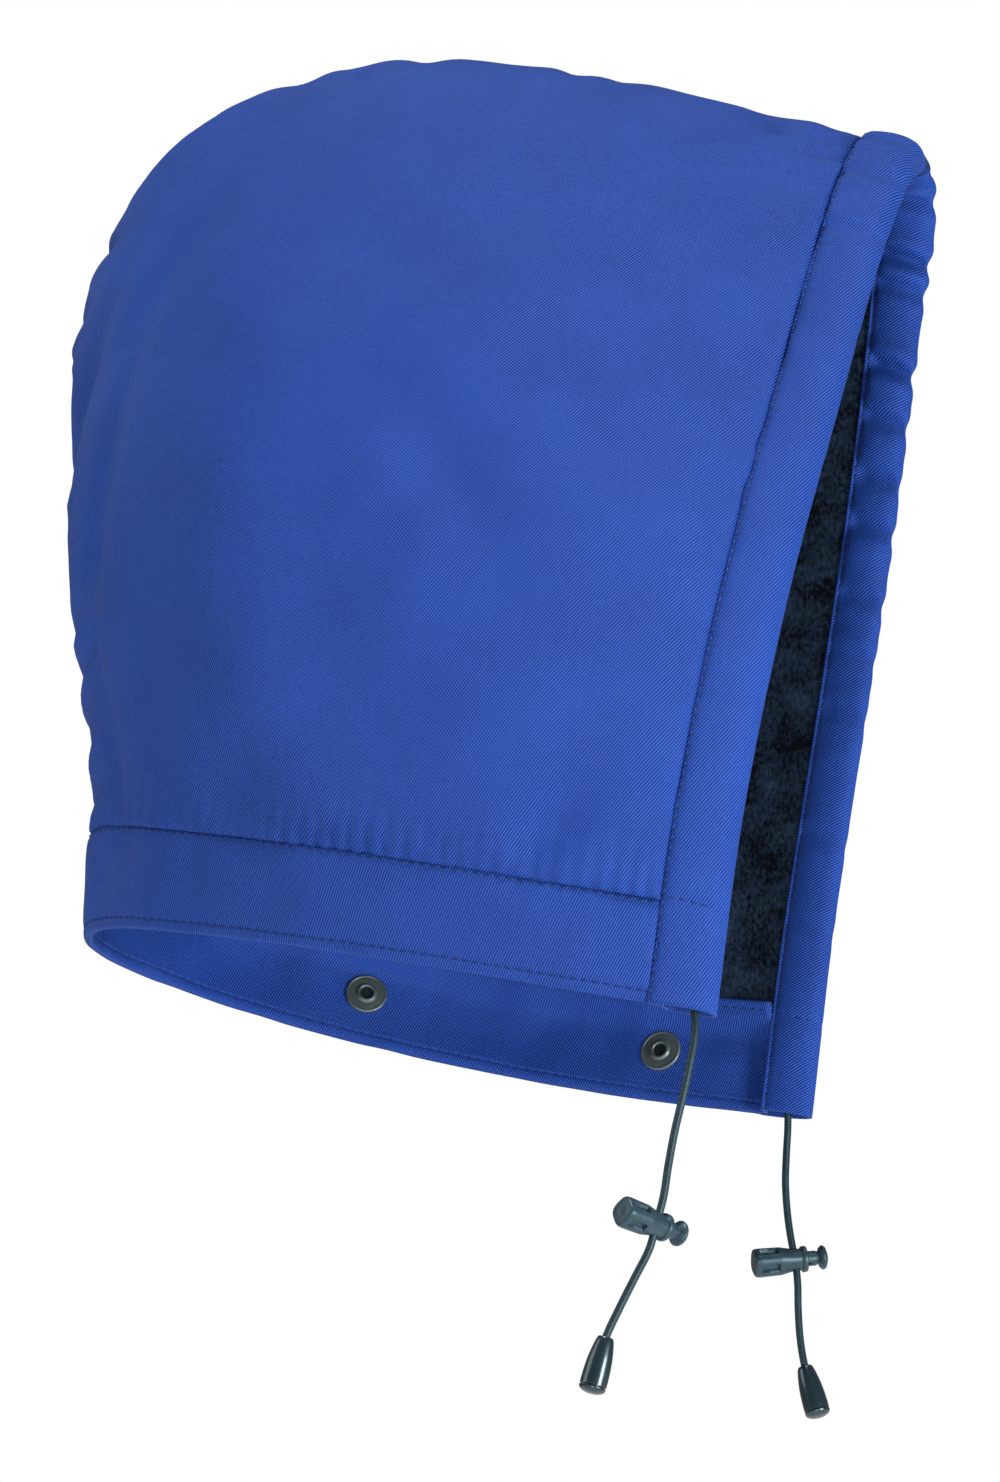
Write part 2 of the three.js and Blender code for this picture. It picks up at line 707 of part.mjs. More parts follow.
// Bell and plug, drawn along z from the bell's base up to where the cord goes in
function bell_solid() {
  const mouth = cord_hole / 2;
  const top = bell_top_diameter / 2;
  const base = bell_base_diameter / 2;
  const recess = plug_spigot_diameter / 2 + clearance;
  const at = (share) => bell_length * share;
  return turned([
    { r: 0, z: plug_seat },
    { r: recess, z: plug_seat },
    { r: recess, z: 0 },
    { r: base, z: 0 },
    { r: base * 0.97, z: at(0.35) },
    { r: (base * 3 + top) / 4, z: at(0.62) },
    { r: (base + top * 2) / 3, z: at(0.9) },
    { r: top, z: bell_length },
    { r: mouth, z: bell_length },
    { r: mouth, z: bell_length - bell_cord_depth },
    { r: 0, z: bell_length - bell_cord_depth },
  ], 12);
}
function plug_solid() {
  const spigot = plug_spigot_diameter / 2;
  const rim = bell_base_diameter / 2;
  return turned([
    { r: 0, z: -clearance - plug_dome },
    { r: rim * 0.6, z: -clearance - plug_dome * 0.85 },
    { r: rim * 0.9, z: -clearance - plug_dome * 0.5 },
    { r: rim, z: -clearance - plug_dome * 0.1 },
    { r: rim * 0.99, z: -clearance },
    { r: spigot, z: -clearance },
    { r: spigot, z: plug_seat - clearance },
    { r: 0, z: plug_seat - clearance },
  ], 12);
}

let casing = solid(face_casing());
for (const side_name of ["right", "left"]) {
  const route = cord_routes[side_name];
  const tube = cord_tube(route);
  add(`drawcord_${side_name}`, tube, cord_black);

  const entry = point_of(route[0]);
  const down = point_of(route[1]).sub(entry).normalize();
  const above = entry.clone().addScaledVector(down, -clearance);
  const mouth = rod(cord_hole, 4 * mouth_depth, 12)
    .rotateX(-Math.PI / 2)
    .translate(0, 0, 2 * mouth_depth)
    .applyMatrix4(frame_at(above, down, new THREE.Vector3(1, 0, 0)));
  casing = casing.subtract(solid(mouth));

  const lock_row = route.findIndex((row) => "swing" in row);
  const lock_centre = point_of(route[lock_row]);
  const cord_run = point_of(route[lock_row + 1]).sub(point_of(route[lock_row - 1])).normalize();
  const swing = (route[lock_row].swing * Math.PI) / 180;
  const to_face = new THREE.Vector3(0, -1, 0).addScaledVector(cord_run, cord_run.y).normalize()
    .applyAxisAngle(cord_run, -swing);
  const lock_start = lock_centre.clone().addScaledVector(to_face, -lock_hole_at);
  const lock_frame = frame_at(lock_start, to_face, cord_run);
  const barrel = geometry_from(lock_barrel_solid()).applyMatrix4(lock_frame);
  add(`cord_lock_barrel_${side_name}`, barrel, plastic_grey);
  const button = geometry_from(lock_button_solid()).applyMatrix4(lock_frame);
  add(`cord_lock_button_${side_name}`, button, plastic_grey);

  const tip = point_of(route[route.length - 1]);
  const last_run = tip.clone().sub(point_of(route[route.length - 2])).normalize();
  const bell_base = tip.clone().addScaledVector(last_run, bell_length - bell_cord_depth + clearance);
  const bell_frame = frame_at(bell_base, last_run.clone().negate(), new THREE.Vector3(1, 0, 0));
  add(`cord_end_bell_${side_name}`, bell_solid().applyMatrix4(bell_frame), plastic_gloss);
  add(`cord_end_plug_${side_name}`, plug_solid().applyMatrix4(bell_frame), plastic_gloss);
}
add("face_casing", geometry_from(casing), cloth_blue);

export default hood;
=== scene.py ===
import math

import bmesh
import bpy
import numpy as np
from mathutils import Matrix, Vector


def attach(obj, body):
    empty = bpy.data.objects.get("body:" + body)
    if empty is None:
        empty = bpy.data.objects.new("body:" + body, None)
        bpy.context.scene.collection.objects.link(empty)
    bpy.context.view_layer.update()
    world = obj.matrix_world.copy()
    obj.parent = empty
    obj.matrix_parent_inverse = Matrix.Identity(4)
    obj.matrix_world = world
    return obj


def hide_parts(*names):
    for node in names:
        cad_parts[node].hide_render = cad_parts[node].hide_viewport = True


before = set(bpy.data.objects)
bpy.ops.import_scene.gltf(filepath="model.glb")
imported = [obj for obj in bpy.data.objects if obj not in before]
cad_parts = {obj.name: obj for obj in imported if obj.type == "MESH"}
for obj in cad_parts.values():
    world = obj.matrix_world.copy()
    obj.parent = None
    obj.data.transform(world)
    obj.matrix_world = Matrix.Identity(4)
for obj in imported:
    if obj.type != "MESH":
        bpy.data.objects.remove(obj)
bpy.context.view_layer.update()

# A padded, detachable work hood, in metres: twill side panels, pile lining, drawcord casing round the face,
# neck band with press studs, and two cord ends with cord locks and bells.
# The face opening looks towards -Y and the wearer's right side is at -X.

# Size of the hood as it is worn
hood_height = 0.380
hood_depth = 0.312
hood_half_width = 0.087
side_fullness = 0.258
back_fullness = 0.328
face_roundness = 2.3
crown_roundness = 3.36

# Cloth walls and the clearance between pieces
clearance = 0.0003
shell_wall = 0.005
lining_wall = 0.003
whole_wall = shell_wall + clearance + lining_wall
cloth_thickness = 0.0011
band_wall = 0.0035
band_set_in = 0.001
casing_width = 0.021
casing_inner_width = 0.0165
band_height = 0.033
fold_depth = 0.007

# Outlines seen from the side, as shares of hood_depth behind the origin and of hood_height above it.
# Height 0 is the lining's inner side at the crown.
neck_line = [(-0.351, -1.0), (-0.16, -0.968), (0.035, -0.931), (0.231, -0.888), (0.417, -0.842)]
face_line = [(-0.351, -1.0), (-0.384, -0.821), (-0.431, -0.626), (-0.484, -0.426), (-0.553, -0.145)]
seam_line = [
    (0.417, -0.842), (0.406, -0.711), (0.422, -0.587), (0.44, -0.463), (0.445, -0.338), (0.434, -0.217),
    (0.384, -0.103), (0.28, -0.025), (0.137, 0.003), (0, 0), (-0.164, -0.028), (-0.353, -0.083),
    (-0.553, -0.145),
]
seam_turn = 0.5

# Half width from the face edge to the back seam, as the square of its share of hood_half_width
width_line = [(0.775,), (0.886,), (0.972,), (1.007,), (0.958,), (0.835,), (0.634,), (0.384,), (0,)]

# Dents and folds of the side panels: at_back, at_up, long, wide, lean in degrees, deep
dents = [
    (0.5, 0.3, 0.16, 0.07, 35, 0.55),
    (0.34, 0.5, 0.12, 0.04, 25, 0.35),
    (0.9, 0.2, 0.1, 0.016, 12, 0.5),
    (0.86, 0.45, 0.16, 0.018, -14, 0.55),
    (0.93, 0.62, 0.12, 0.016, -24, 0.5),
    (0.76, 0.72, 0.12, 0.03, -38, 0.35),
    (0.22, 0.16, 0.06, 0.025, -40, 0.4),
    (0.66, 0.14, 0.05, 0.03, 20, 0.35),
    (0.62, 0.45, 0.2, 0.1, 5, -0.5),
    (0.28, 0.76, 0.12, 0.06, -50, -0.3),
]

# Creases that start at a seam: back and up of the start and of the end, in the outlines' shares, then deep
# as a share of crease_depth, where a ridge is below 0, and wide as a share of crease_width
crease_depth = 0.0028
crease_width = 0.005
crease_ridge = 0.25
far_crease_share = 0.8
creases = [
    (0.414, -0.172, 0.316, -0.182, 1.0, 1.0),
    (0.44, -0.25, 0.38, -0.25, 0.54, 0.8),
    (0.428, -0.273, 0.367, -0.272, -0.43, 0.8),
    (0.439, -0.294, 0.375, -0.299, -0.29, 0.6),
    (0.404, -0.452, 0.361, -0.436, -0.29, 0.6),
    (0.4, -0.56, 0.33, -0.52, 0.5, 0.8),
    (0.395, -0.586, 0.312, -0.544, -0.36, 0.6),
    (0.42, -0.61, 0.31, -0.565, 0.4, 0.7),
    (0.413, -0.634, 0.297, -0.578, -0.36, 0.6),
    (0.406, -0.695, 0.344, -0.686, -0.43, 0.7),
    (0.391, -0.737, 0.35, -0.714, 0.9, 1.0),
    (0.174, 0.0, 0.115, -0.064, 0.43, 1.2),
    (0.095, -0.026, 0.061, -0.06, 0.8, 1.2),
    (0.015, -0.006, -0.016, -0.053, 0.43, 1.0),
    (-0.161, -0.032, -0.201, -0.084, 0.43, 1.0),
    (-0.21, -0.046, -0.248, -0.092, 0.36, 1.0),
    (-0.402, -0.121, -0.352, -0.084, 1.0, 1.0),
    (-0.462, -0.242, -0.438, -0.231, 0.43, 0.6),
    (-0.45, -0.322, -0.417, -0.293, 0.43, 0.6),
    (-0.434, -0.395, -0.393, -0.377, 0.43, 0.6),
]

# Gathers of the casing: at is a share of its length from the hem to the crown seam, deep of gather_depth.
# Each valley has a ridge before and after it, gather_ridge_apart of its width away.
gather_depth = 0.0040
gather_width = 0.0033
gather_slant = 0.016
gather_slant_from = 0.3
gather_ridge_apart, gather_ridge_before, gather_ridge_after = 1.7, 0.3, 0.45
gathers = {
    -1: [(0.965, 0.35), (0.9, 0.3), (0.82, 0.22), (0.7, 0.12), (0.55, 0.1)],
    1: [
        (0.975, 0.6), (0.937, 0.85), (0.869, 0.96), (0.838, 0.69), (0.754, 1.0), (0.7, 0.62),
        (0.64, 0.4), (0.59, 0.58), (0.518, 0.46), (0.46, 0.3), (0.4, 0.23), (0.27, 0.19), (0.18, 0.15),
    ],
}

# Press studs, cord locks and bells
stud_diameter = 0.015
stud_sunk = 0.0002
stud_above_hem = 0.0185
stud_places = {"front": 0.0605, "back": 0.174}
bell_length = 0.0156
bell_cord_depth = 0.009
plug_dome = 0.0025

# Drawcord routes, from inside the casing's open end down to inside the bell
cord_diameter = 0.0026
cord_routes = {
    "right": [
        (-0.0732, -0.1027, -0.3655), (-0.0739, -0.1032, -0.376), (-0.0744, -0.1017, -0.386),
        (-0.0744, -0.0992, -0.397), (-0.0744, -0.0962, -0.409), (-0.0744, -0.094, -0.42),
        (-0.0744, -0.0924, -0.4295), (-0.0744, -0.0899, -0.4383), (-0.0744, -0.0875, -0.4463),
        (-0.0744, -0.083, -0.4546), (-0.0744, -0.078, -0.4639), (-0.0744, -0.0734, -0.4732),
        (-0.0744, -0.071, -0.4815),
    ],
    "left": [
        (0.0732, -0.1014, -0.3655), (0.0739, -0.101, -0.375), (0.0744, -0.1002, -0.384),
        (0.0744, -0.0997, -0.394), (0.0744, -0.1002, -0.4045), (0.0744, -0.1012, -0.413),
        (0.0744, -0.1025, -0.4208), (0.0744, -0.1033, -0.429), (0.0744, -0.1033, -0.438),
        (0.0744, -0.1038, -0.4485), (0.0744, -0.1052, -0.4579), (0.0744, -0.1074, -0.4663),
    ],
}

# Seeds of the cloth's unevenness, by side
panel_seeds = {-1: 10, 1: 60}
casing_seeds = {-1: 30, 1: 40}
band_seeds = {-1: 70, 1: 80}
tuft_seed = 90

# Camera and studio: the room's own light is softer than the white that the camera sees behind the hood
room_light = 0.22
floor_glow = 0.5


def studio():
    camera_data = bpy.data.cameras.new("camera")
    camera_data.lens = 112.7
    camera_data.sensor_width = 36
    camera = bpy.data.objects.new("camera", camera_data)
    place = Vector((-1.46539, -0.42928, -0.74379))
    look_at = Vector((-0.00027, -0.01825, -0.24936))
    camera.location = place
    camera.rotation_euler = (look_at - place).to_track_quat("-Z", "Y").to_euler()
    bpy.context.scene.collection.objects.link(camera)
    bpy.context.scene.camera = camera
    bpy.context.scene.view_settings.view_transform = "Standard"

    world = bpy.data.worlds.new("studio")
    world.use_nodes = True
    tree = world.node_tree
    background = tree.nodes["Background"]
    background.inputs["Color"].default_value = (1, 1, 1, 1)
    seen = tree.nodes.new("ShaderNodeLightPath").outputs["Is Camera Ray"]
    strength = math_node(tree, "MULTIPLY_ADD", seen, 1 - room_light, room_light)
    tree.links.new(strength, background.inputs["Strength"])
    bpy.context.scene.world = world

    lights = [
        ("key", (-0.7, -0.3, 1.5), 0.5, 32),
        ("opening", (-0.35, -0.75, -0.55), 0.3, 8),
        ("low", (-1.35, -0.35, -1.0), 0.5, 7),
        ("back", (-0.9, 1.7, 0.6), 1.2, 14),
    ]
    for name, spot, size, watts in lights:
        lamp = bpy.data.lights.new(name, "AREA")
        lamp.size = size
        lamp.energy = watts
        made = bpy.data.objects.new(name, lamp)
        made.location = spot
        made.rotation_euler = (look_at - Vector(spot)).to_track_quat("-Z", "Y").to_euler()
        bpy.context.scene.collection.objects.link(made)

    floor_mesh = bmesh.new()
    bmesh.ops.create_grid(floor_mesh, x_segments=1, y_segments=1, size=6)
    bmesh.ops.translate(floor_mesh, verts=floor_mesh.verts, vec=(0, 0, -1.1))
    mesh = bpy.data.meshes.new("floor")
    floor_mesh.to_mesh(mesh)
    floor_mesh.free()
    floor = bpy.data.objects.new("floor", mesh)
    bpy.context.scene.collection.objects.link(floor)
    pale = new_material("pale_floor")
    set_shader(pale, {}, Base_Color=(0.86, 0.86, 0.86, 1), Roughness=0.9, Emission_Strength=floor_glow)
    mesh.materials.append(pale)


# Material helpers
def new_material(name):
    made = bpy.data.materials.new(name)
    made.use_nodes = True
    return made


def add_node(tree, kind, inputs=None, **settings):
    made = tree.nodes.new("ShaderNode" + kind)
    for key, value in settings.items():
        setattr(made, key, value)
    for key, value in (inputs or {}).items():
        if isinstance(value, bpy.types.NodeSocket):
            tree.links.new(value, made.inputs[key])
        else:
            made.inputs[key].default_value = value
    return made


def math_node(tree, operation, *values):
    return add_node(tree, "Math", dict(enumerate(values)), operation=operation).outputs[0]


def colour_ramp(tree, factor, low, high, start=0.0, end=1.0):
    ramp = add_node(tree, "ValToRGB", {"Fac": factor})
    ramp.color_ramp.elements[0].color = (*low, 1)
    ramp.color_ramp.elements[0].position = start
    ramp.color_ramp.elements[1].color = (*high, 1)
    ramp.color_ramp.elements[1].position = end
    return ramp.outputs["Color"]


def bump(tree, height, distance, strength=1.0):
    inputs = {"Height": height, "Distance": distance, "Strength": strength}
    return add_node(tree, "Bump", inputs).outputs["Normal"]


def set_shader(material, links, **values):
    shader = material.node_tree.nodes["Principled BSDF"]
    for key, value in values.items():
        shader.inputs[key.replace("_", " ")].default_value = value
    for key, socket in links.items():
        material.node_tree.links.new(socket, shader.inputs[key])


# Twill: diagonal ribs over the cloth's own flat pattern, with uneven yarns. The ribs' colour is painted
# light and shade: lighter on their ridges and darker in the valleys between them.
wave_period = 2 * math.pi / 20
twill_pitch = 0.00085
twill_angle = math.radians(50)
pick_pitch = twill_pitch * 0.7
rib_painted_shade, yarn_shade, patch_shade = 0.75, 0.35, 0.25
rib_height, pick_height, yarn_height = 0.00019, 0.25, 0.4


def twill(name, dark, light):
    made = new_material(name)
    tree = made.node_tree
    cloth = add_node(tree, "UVMap", uv_map="cloth").outputs["UV"]
    turned = add_node(tree, "Mapping", {"Vector": cloth, "Rotation": (0, 0, -twill_angle)}).outputs["Vector"]
    sway = add_node(tree, "TexNoise", {"Vector": cloth, "Scale": 45, "Detail": 2}).outputs["Fac"]
    offset = add_node(tree, "CombineXYZ", {"Y": math_node(tree, "MULTIPLY", sway, twill_pitch)}).outputs[0]
    ribs_at = add_node(tree, "VectorMath", {0: turned, 1: offset}, operation="ADD").outputs[0]
    ribs = add_node(
        tree, "TexWave", {"Vector": ribs_at, "Scale": wave_period / twill_pitch},
        bands_direction="Y", wave_profile="SIN",
    ).outputs["Fac"]
    picks = add_node(
        tree, "TexWave", {"Vector": turned, "Scale": wave_period / pick_pitch},
        bands_direction="X", wave_profile="SIN",
    ).outputs["Fac"]
    stretched = add_node(tree, "Mapping", {"Vector": turned, "Scale": (350, 1300, 1)}).outputs["Vector"]
    yarn = add_node(tree, "TexNoise", {"Vector": stretched, "Scale": 1, "Detail": 2}).outputs["Fac"]
    patches = add_node(tree, "TexNoise", {"Vector": cloth, "Scale": 30, "Detail": 3}).outputs["Fac"]
    # Painted shade and highlight: the colour darkens in the valleys between the ribs and lightens on their
    # ridges
    shade = math_node(tree, "MULTIPLY_ADD", ribs, rib_painted_shade, math_node(tree, "MULTIPLY", yarn, yarn_shade))
    shade = math_node(tree, "MULTIPLY_ADD", patches, patch_shade, shade)
    colour = colour_ramp(tree, shade, dark, light, 0.3, 1.05)
    height = math_node(tree, "MULTIPLY_ADD", picks, pick_height, ribs)
    height = math_node(tree, "MULTIPLY_ADD", yarn, yarn_height, height)
    normal = bump(tree, height, rib_height, 0.9)
    set_shader(
        made, {"Base Color": colour, "Normal": normal},
        Roughness=0.62, Sheen_Weight=0.05, Sheen_Roughness=0.35, Sheen_Tint=(0.5, 0.7, 1, 1),
        Specular_IOR_Level=0.16,
    )
    return made


# Pile: short dark fibres in tufts, with lighter brushed patches
pile_height = 0.0018


def pile(name):
    made = new_material(name)
    tree = made.node_tree
    cloth = add_node(tree, "UVMap", uv_map="cloth").outputs["UV"]
    brushed = add_node(tree, "Mapping", {"Vector": cloth, "Scale": (1.6, 1, 1)}).outputs["Vector"]
    tufts = add_node(tree, "TexNoise", {"Vector": brushed, "Scale": 420, "Detail": 6, "Roughness": 0.7})
    fibres = add_node(tree, "TexNoise", {"Vector": brushed, "Scale": 1700, "Detail": 3}).outputs["Fac"]
    patches = add_node(tree, "TexNoise", {"Vector": cloth, "Scale": 70, "Detail": 4}).outputs["Fac"]
    mix = math_node(tree, "MULTIPLY_ADD", patches, 0.6, tufts.outputs["Fac"])
    colour = colour_ramp(tree, mix, (0.0009, 0.002, 0.006), (0.03, 0.06, 0.115), 0.68, 1.04)
    height = math_node(tree, "MULTIPLY_ADD", fibres, 0.5, tufts.outputs["Fac"])
    normal = bump(tree, height, pile_height)
    set_shader(
        made, {"Base Color": colour, "Normal": normal},
        Roughness=1.0, Sheen_Weight=0.03, Sheen_Roughness=0.5, Specular_IOR_Level=0.02,
    )
    return made


# Elastic cord: a fine braid in diagonal strands, its colour darker where the strands lie low and lighter on
# their crowns. It and the fittings have a cool gloss.
strand_pitch = 0.0009
strand_height = 0.00006
strand_angle = 35
cool_tint = (0.65, 0.88, 1, 1)


def braided(name, dark, light):
    made = new_material(name)
    tree = made.node_tree
    cloth = add_node(tree, "UVMap", uv_map="cloth").outputs["UV"]
    heights = []
    for degrees in (strand_angle, -strand_angle):
        turn = (0, 0, math.radians(degrees))
        turned = add_node(tree, "Mapping", {"Vector": cloth, "Rotation": turn}).outputs["Vector"]
        strand = add_node(
            tree, "TexWave", {"Vector": turned, "Scale": wave_period / strand_pitch},
            bands_direction="Y", wave_profile="SIN",
        )
        heights.append(strand.outputs["Fac"])
    height = math_node(tree, "MAXIMUM", *heights)
    soft = add_node(tree, "TexNoise", {"Vector": cloth, "Scale": 220, "Detail": 3}).outputs["Fac"]
    # The colour is darker where the strands lie low and lighter on their crowns
    shade = math_node(tree, "MULTIPLY_ADD", soft, 0.6, math_node(tree, "MULTIPLY", height, 0.4))
    colour = colour_ramp(tree, shade, dark, light, 0.3, 0.95)
    set_shader(
        made, {"Base Color": colour, "Normal": bump(tree, height, strand_height, 0.7)},
        Roughness=0.42, Specular_IOR_Level=0.4, Specular_Tint=cool_tint,
    )
    return made


# Plastic, metal and thread: a fine grain over broader, slightly uneven tones and gloss
def grained(name, colour, roughness, grain, scale, metallic=0.0, coat=0.0):
    made = new_material(name)
    tree = made.node_tree
    place = add_node(tree, "TexCoord").outputs["Object"]
    fine = add_node(tree, "TexNoise", {"Vector": place, "Scale": scale, "Detail": 3}).outputs["Fac"]
    broad = add_node(tree, "TexNoise", {"Vector": place, "Scale": scale / 12, "Detail": 4}).outputs["Fac"]
    low = tuple(c * 0.75 for c in colour)
    high = tuple(min(1, c * 1.3) for c in colour)
    shade = colour_ramp(tree, math_node(tree, "MULTIPLY_ADD", fine, 0.4, broad), low, high, 0.4, 1.0)
    rough = math_node(tree, "MULTIPLY_ADD", broad, 0.2, roughness - 0.1)
    normal = bump(tree, fine, grain)
    set_shader(
        made, {"Base Color": shade, "Roughness": rough, "Normal": normal},
        Metallic=metallic, Coat_Weight=coat, Coat_Roughness=0.12, Specular_Tint=cool_tint,
    )
    return made


# Smooth curve through the rows of a table, for shares t of its length
def along(rows, t):
    table = np.array(rows, float)
    table = np.concatenate([[2 * table[0] - table[1]], table, [2 * table[-1] - table[-2]]])
    last = len(rows) - 1
    place = np.clip(t, 0, 1) * last
    i = np.minimum(place.astype(int), last - 1)
    f = (place - i).reshape(place.shape + (1,) * (table.ndim - 1))
    p, q, r, s = (table[i + k] for k in range(4))
    return 0.5 * (2 * q + (r - p) * f + (2 * p - 5 * q + 4 * r - s) * f**2 + (3 * q - p - 3 * r + s) * f**3)


# Back and up of the hood's side view, blended between its four outlines
def side_view(u, v):
    u_up, v_up = u[..., None], v[..., None]
    low, front = along(neck_line, u), along(face_line, v)
    high, rear = along(seam_line, 1 - u * (1 - seam_turn)), along(seam_line, v * seam_turn)
    corner = along(seam_line, np.full(u.shape, seam_turn))
    corners = (1 - u_up) * ((1 - v_up) * np.array(neck_line[0]) + v_up * np.array(face_line[-1]))
    corners = corners + u_up * ((1 - v_up) * np.array(seam_line[0]) + v_up * corner)
    return (1 - v_up) * low + v_up * high + (1 - u_up) * front + u_up * rear - corners


# Points of the outer side: a runs from the face edge to the back seam, b from the hem to the crown seam
def outer_point(side, a, b):
    a, b = np.broadcast_arrays(np.asarray(a, float), np.asarray(b, float))
    u, v = np.sin(a * np.pi / 2), np.sin(b * np.pi / 2)
    roundness = face_roundness + (crown_roundness - face_roundness) * np.sin(np.pi * u)
    square = np.maximum(along(width_line, u)[..., 0], 0) * (1 - np.maximum(v, 0) ** roundness)
    swell = side_fullness * np.sin(np.pi * u) + back_fullness * u * u
    bulge = 1 + swell * np.sin(np.pi * v)
    other_half = np.where((a > 1) != (b > 1), -1, 1)
    back_up = side_view(u, v)
    x = side * other_half * hood_half_width * np.sqrt(np.maximum(square, 0)) * bulge
    return np.stack([x, back_up[..., 0] * hood_depth, back_up[..., 1] * hood_height + whole_wall], -1)


def unit(vectors):
    return vectors / np.maximum(np.linalg.norm(vectors, axis=-1, keepdims=True), 1e-12)


def outward(side, a, b):
    a, b = np.broadcast_arrays(np.asarray(a, float), np.asarray(b, float))
    step = 0.004
    at = np.where((a > 0.99) & (b > 0.99), np.minimum(a, 0.985), np.minimum(a, 1))
    along_a = outer_point(side, at + step, b) - outer_point(side, np.maximum(at - step, 0), b)
    along_b = outer_point(side, at, b + step) - outer_point(side, at, np.maximum(b - step, 0))
    normal = np.cross(along_a, along_b) * side
    normal[..., 0] = np.where((a >= 1) | (b >= 1), 0, normal[..., 0])
    return unit(normal)


def lengths_along(points):
    strides = np.linalg.norm(np.diff(points, axis=0), axis=-1)
    return np.concatenate([np.zeros((1,) + strides.shape[1:]), np.cumsum(strides, 0)])


# Shares a that lie given lengths behind the face edge at heights b, and shares b above the hem at shares a
walk = np.linspace(0, 1, 121)


def behind_face(b, lengths):
    gone = lengths_along(outer_point(1, walk[:, None], b[None, :]))
    return np.array([np.interp(lengths, gone[:, j], walk) for j in range(len(b))])


def above_hem(a, lengths):
    gone = lengths_along(outer_point(1, a[None, :], walk[:, None]))
    return np.array([np.interp(lengths, gone[:, j], walk) for j in range(len(a))])


samples = np.linspace(0, 1, 161)
casing_edge = behind_face(samples, [casing_width + clearance])[:, 0]
casing_inner_edge = behind_face(samples, [casing_inner_width + clearance])[:, 0]


def panel_place(share_back, share_up, hem_height, front_edge=casing_edge):
    band_edge = above_hem(samples, [hem_height])[:, 0]
    a, b = share_back, share_up
    for _ in range(6):
        start_a = np.interp(b, samples, front_edge)
        start_b = np.interp(a, samples, band_edge)
        a = start_a + (1 - start_a) * share_back
        b = start_b + (1 - start_b) * share_up
    return a, b


def dented(points):
    out = np.zeros(points.shape[:-1])
    for at_back, at_up, long, wide, lean, deep in dents:
        middle = outer_point(1, np.arcsin(at_back) * 2 / np.pi, np.arcsin(at_up) * 2 / np.pi)
        turn = math.radians(lean)
        back = (points[..., 1] - middle[1]) / hood_height
        up = (points[..., 2] - middle[2]) / hood_height
        lengthways = up * math.cos(turn) + back * math.sin(turn)
        across = back * math.cos(turn) - up * math.sin(turn)
        fade = np.minimum(1, np.abs(points[..., 0]) / (hood_half_width / 4))
        out -= deep * fold_depth * fade * np.exp(-((lengthways / long) ** 2) - (across / wide) ** 2)
    return out


def cloth_point(side, a, b, depth, seam_gap=0.0):
    points = outer_point(side, a, b)
    lift = dented(points) - depth
    points = points + outward(side, a, b) * lift[..., None]
    points[..., 0] += side * seam_gap / 2
    return points


# Smooth seeded unevenness along a line and over a surface, from -1 to 1
line_knots = 4096
grid_knots = 64
knots_before = 1000


def smooth(share):
    return share * share * (3 - 2 * share)


def wander(x, pitch, seed):
    knots = np.random.default_rng(seed).uniform(-1, 1, line_knots)
    place = np.asarray(x) / pitch + knots_before
    i = np.floor(place).astype(int)
    f = smooth(place - i)
    return knots[i % line_knots] * (1 - f) + knots[(i + 1) % line_knots] * f


def uneven(x, y, pitch, seed):
    knots = np.random.default_rng(seed).uniform(-1, 1, (grid_knots, grid_knots))
    px, py = np.asarray(x) / pitch + knots_before, np.asarray(y) / pitch + knots_before
    i, j = np.floor(px).astype(int), np.floor(py).astype(int)
    fx, fy = smooth(px - i), smooth(py - j)
    i, j, next_i, next_j = (k % grid_knots for k in (i, j, i + 1, j + 1))
    low = knots[i, j] * (1 - fx) + knots[next_i, j] * fx
    high = knots[i, next_j] * (1 - fx) + knots[next_i, next_j] * fx
    return low * (1 - fy) + high * fy


# How far a rounded edge falls at a distance from its seam
def rolled(distance, reach, drop):
    share = np.clip(distance / reach, 0, 1)
    return -drop * (1 - np.sqrt(1 - (1 - share) ** 2))


# Flat pattern of a grid of points: the flat grid whose lengths match those in space, down, across and along
# both diagonals
flattening_rounds = 1500
flattening_share = 0.22


def flat_pattern(points, start):
    flat = start.copy()
    families = [((1, 0), (0, 0)), ((0, 1), (0, 0)), ((1, 1), (0, 0)), ((1, 0), (0, 1))]
    rows, columns = points.shape[:2]

    def ends(grid, high, low):
        down, right = max(high[0], low[0]), max(high[1], low[1])
        height, width = rows - down, columns - right
        return (
            grid[high[0]:high[0] + height, high[1]:high[1] + width],
            grid[low[0]:low[0] + height, low[1]:low[1] + width],
        )

    rest = [np.linalg.norm(np.subtract(*ends(points, *f)), axis=-1) for f in families]
    for _ in range(flattening_rounds):
        push = np.zeros_like(flat)
        for family, length in zip(families, rest):
            gap = np.subtract(*ends(flat, *family))
            now = np.maximum(np.linalg.norm(gap, axis=-1), 1e-9)
            pull = gap * ((length / now - 1) * 0.5)[..., None]
            high, low = ends(push, *family)
            high += pull * flattening_share
            low -= pull * flattening_share
        flat += push
    return flat


def smooth_grid(coarse, rows, columns):
    tall = along(coarse, np.linspace(0, 1, rows))
    return along(tall.transpose(1, 0, 2), np.linspace(0, 1, columns)).transpose(1, 0, 2)


# Pieces
def make_piece(name, mesh, look, body="hood"):
    mesh.shade_smooth()
    mesh.materials.append(look)
    made = bpy.data.objects.new(name, mesh)
    bpy.context.scene.collection.objects.link(made)
    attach(made, body)
    return made


def mesh_from(bm, name):
    mesh = bpy.data.meshes.new(name)
    bm.to_mesh(mesh)
    bm.free()
    return mesh


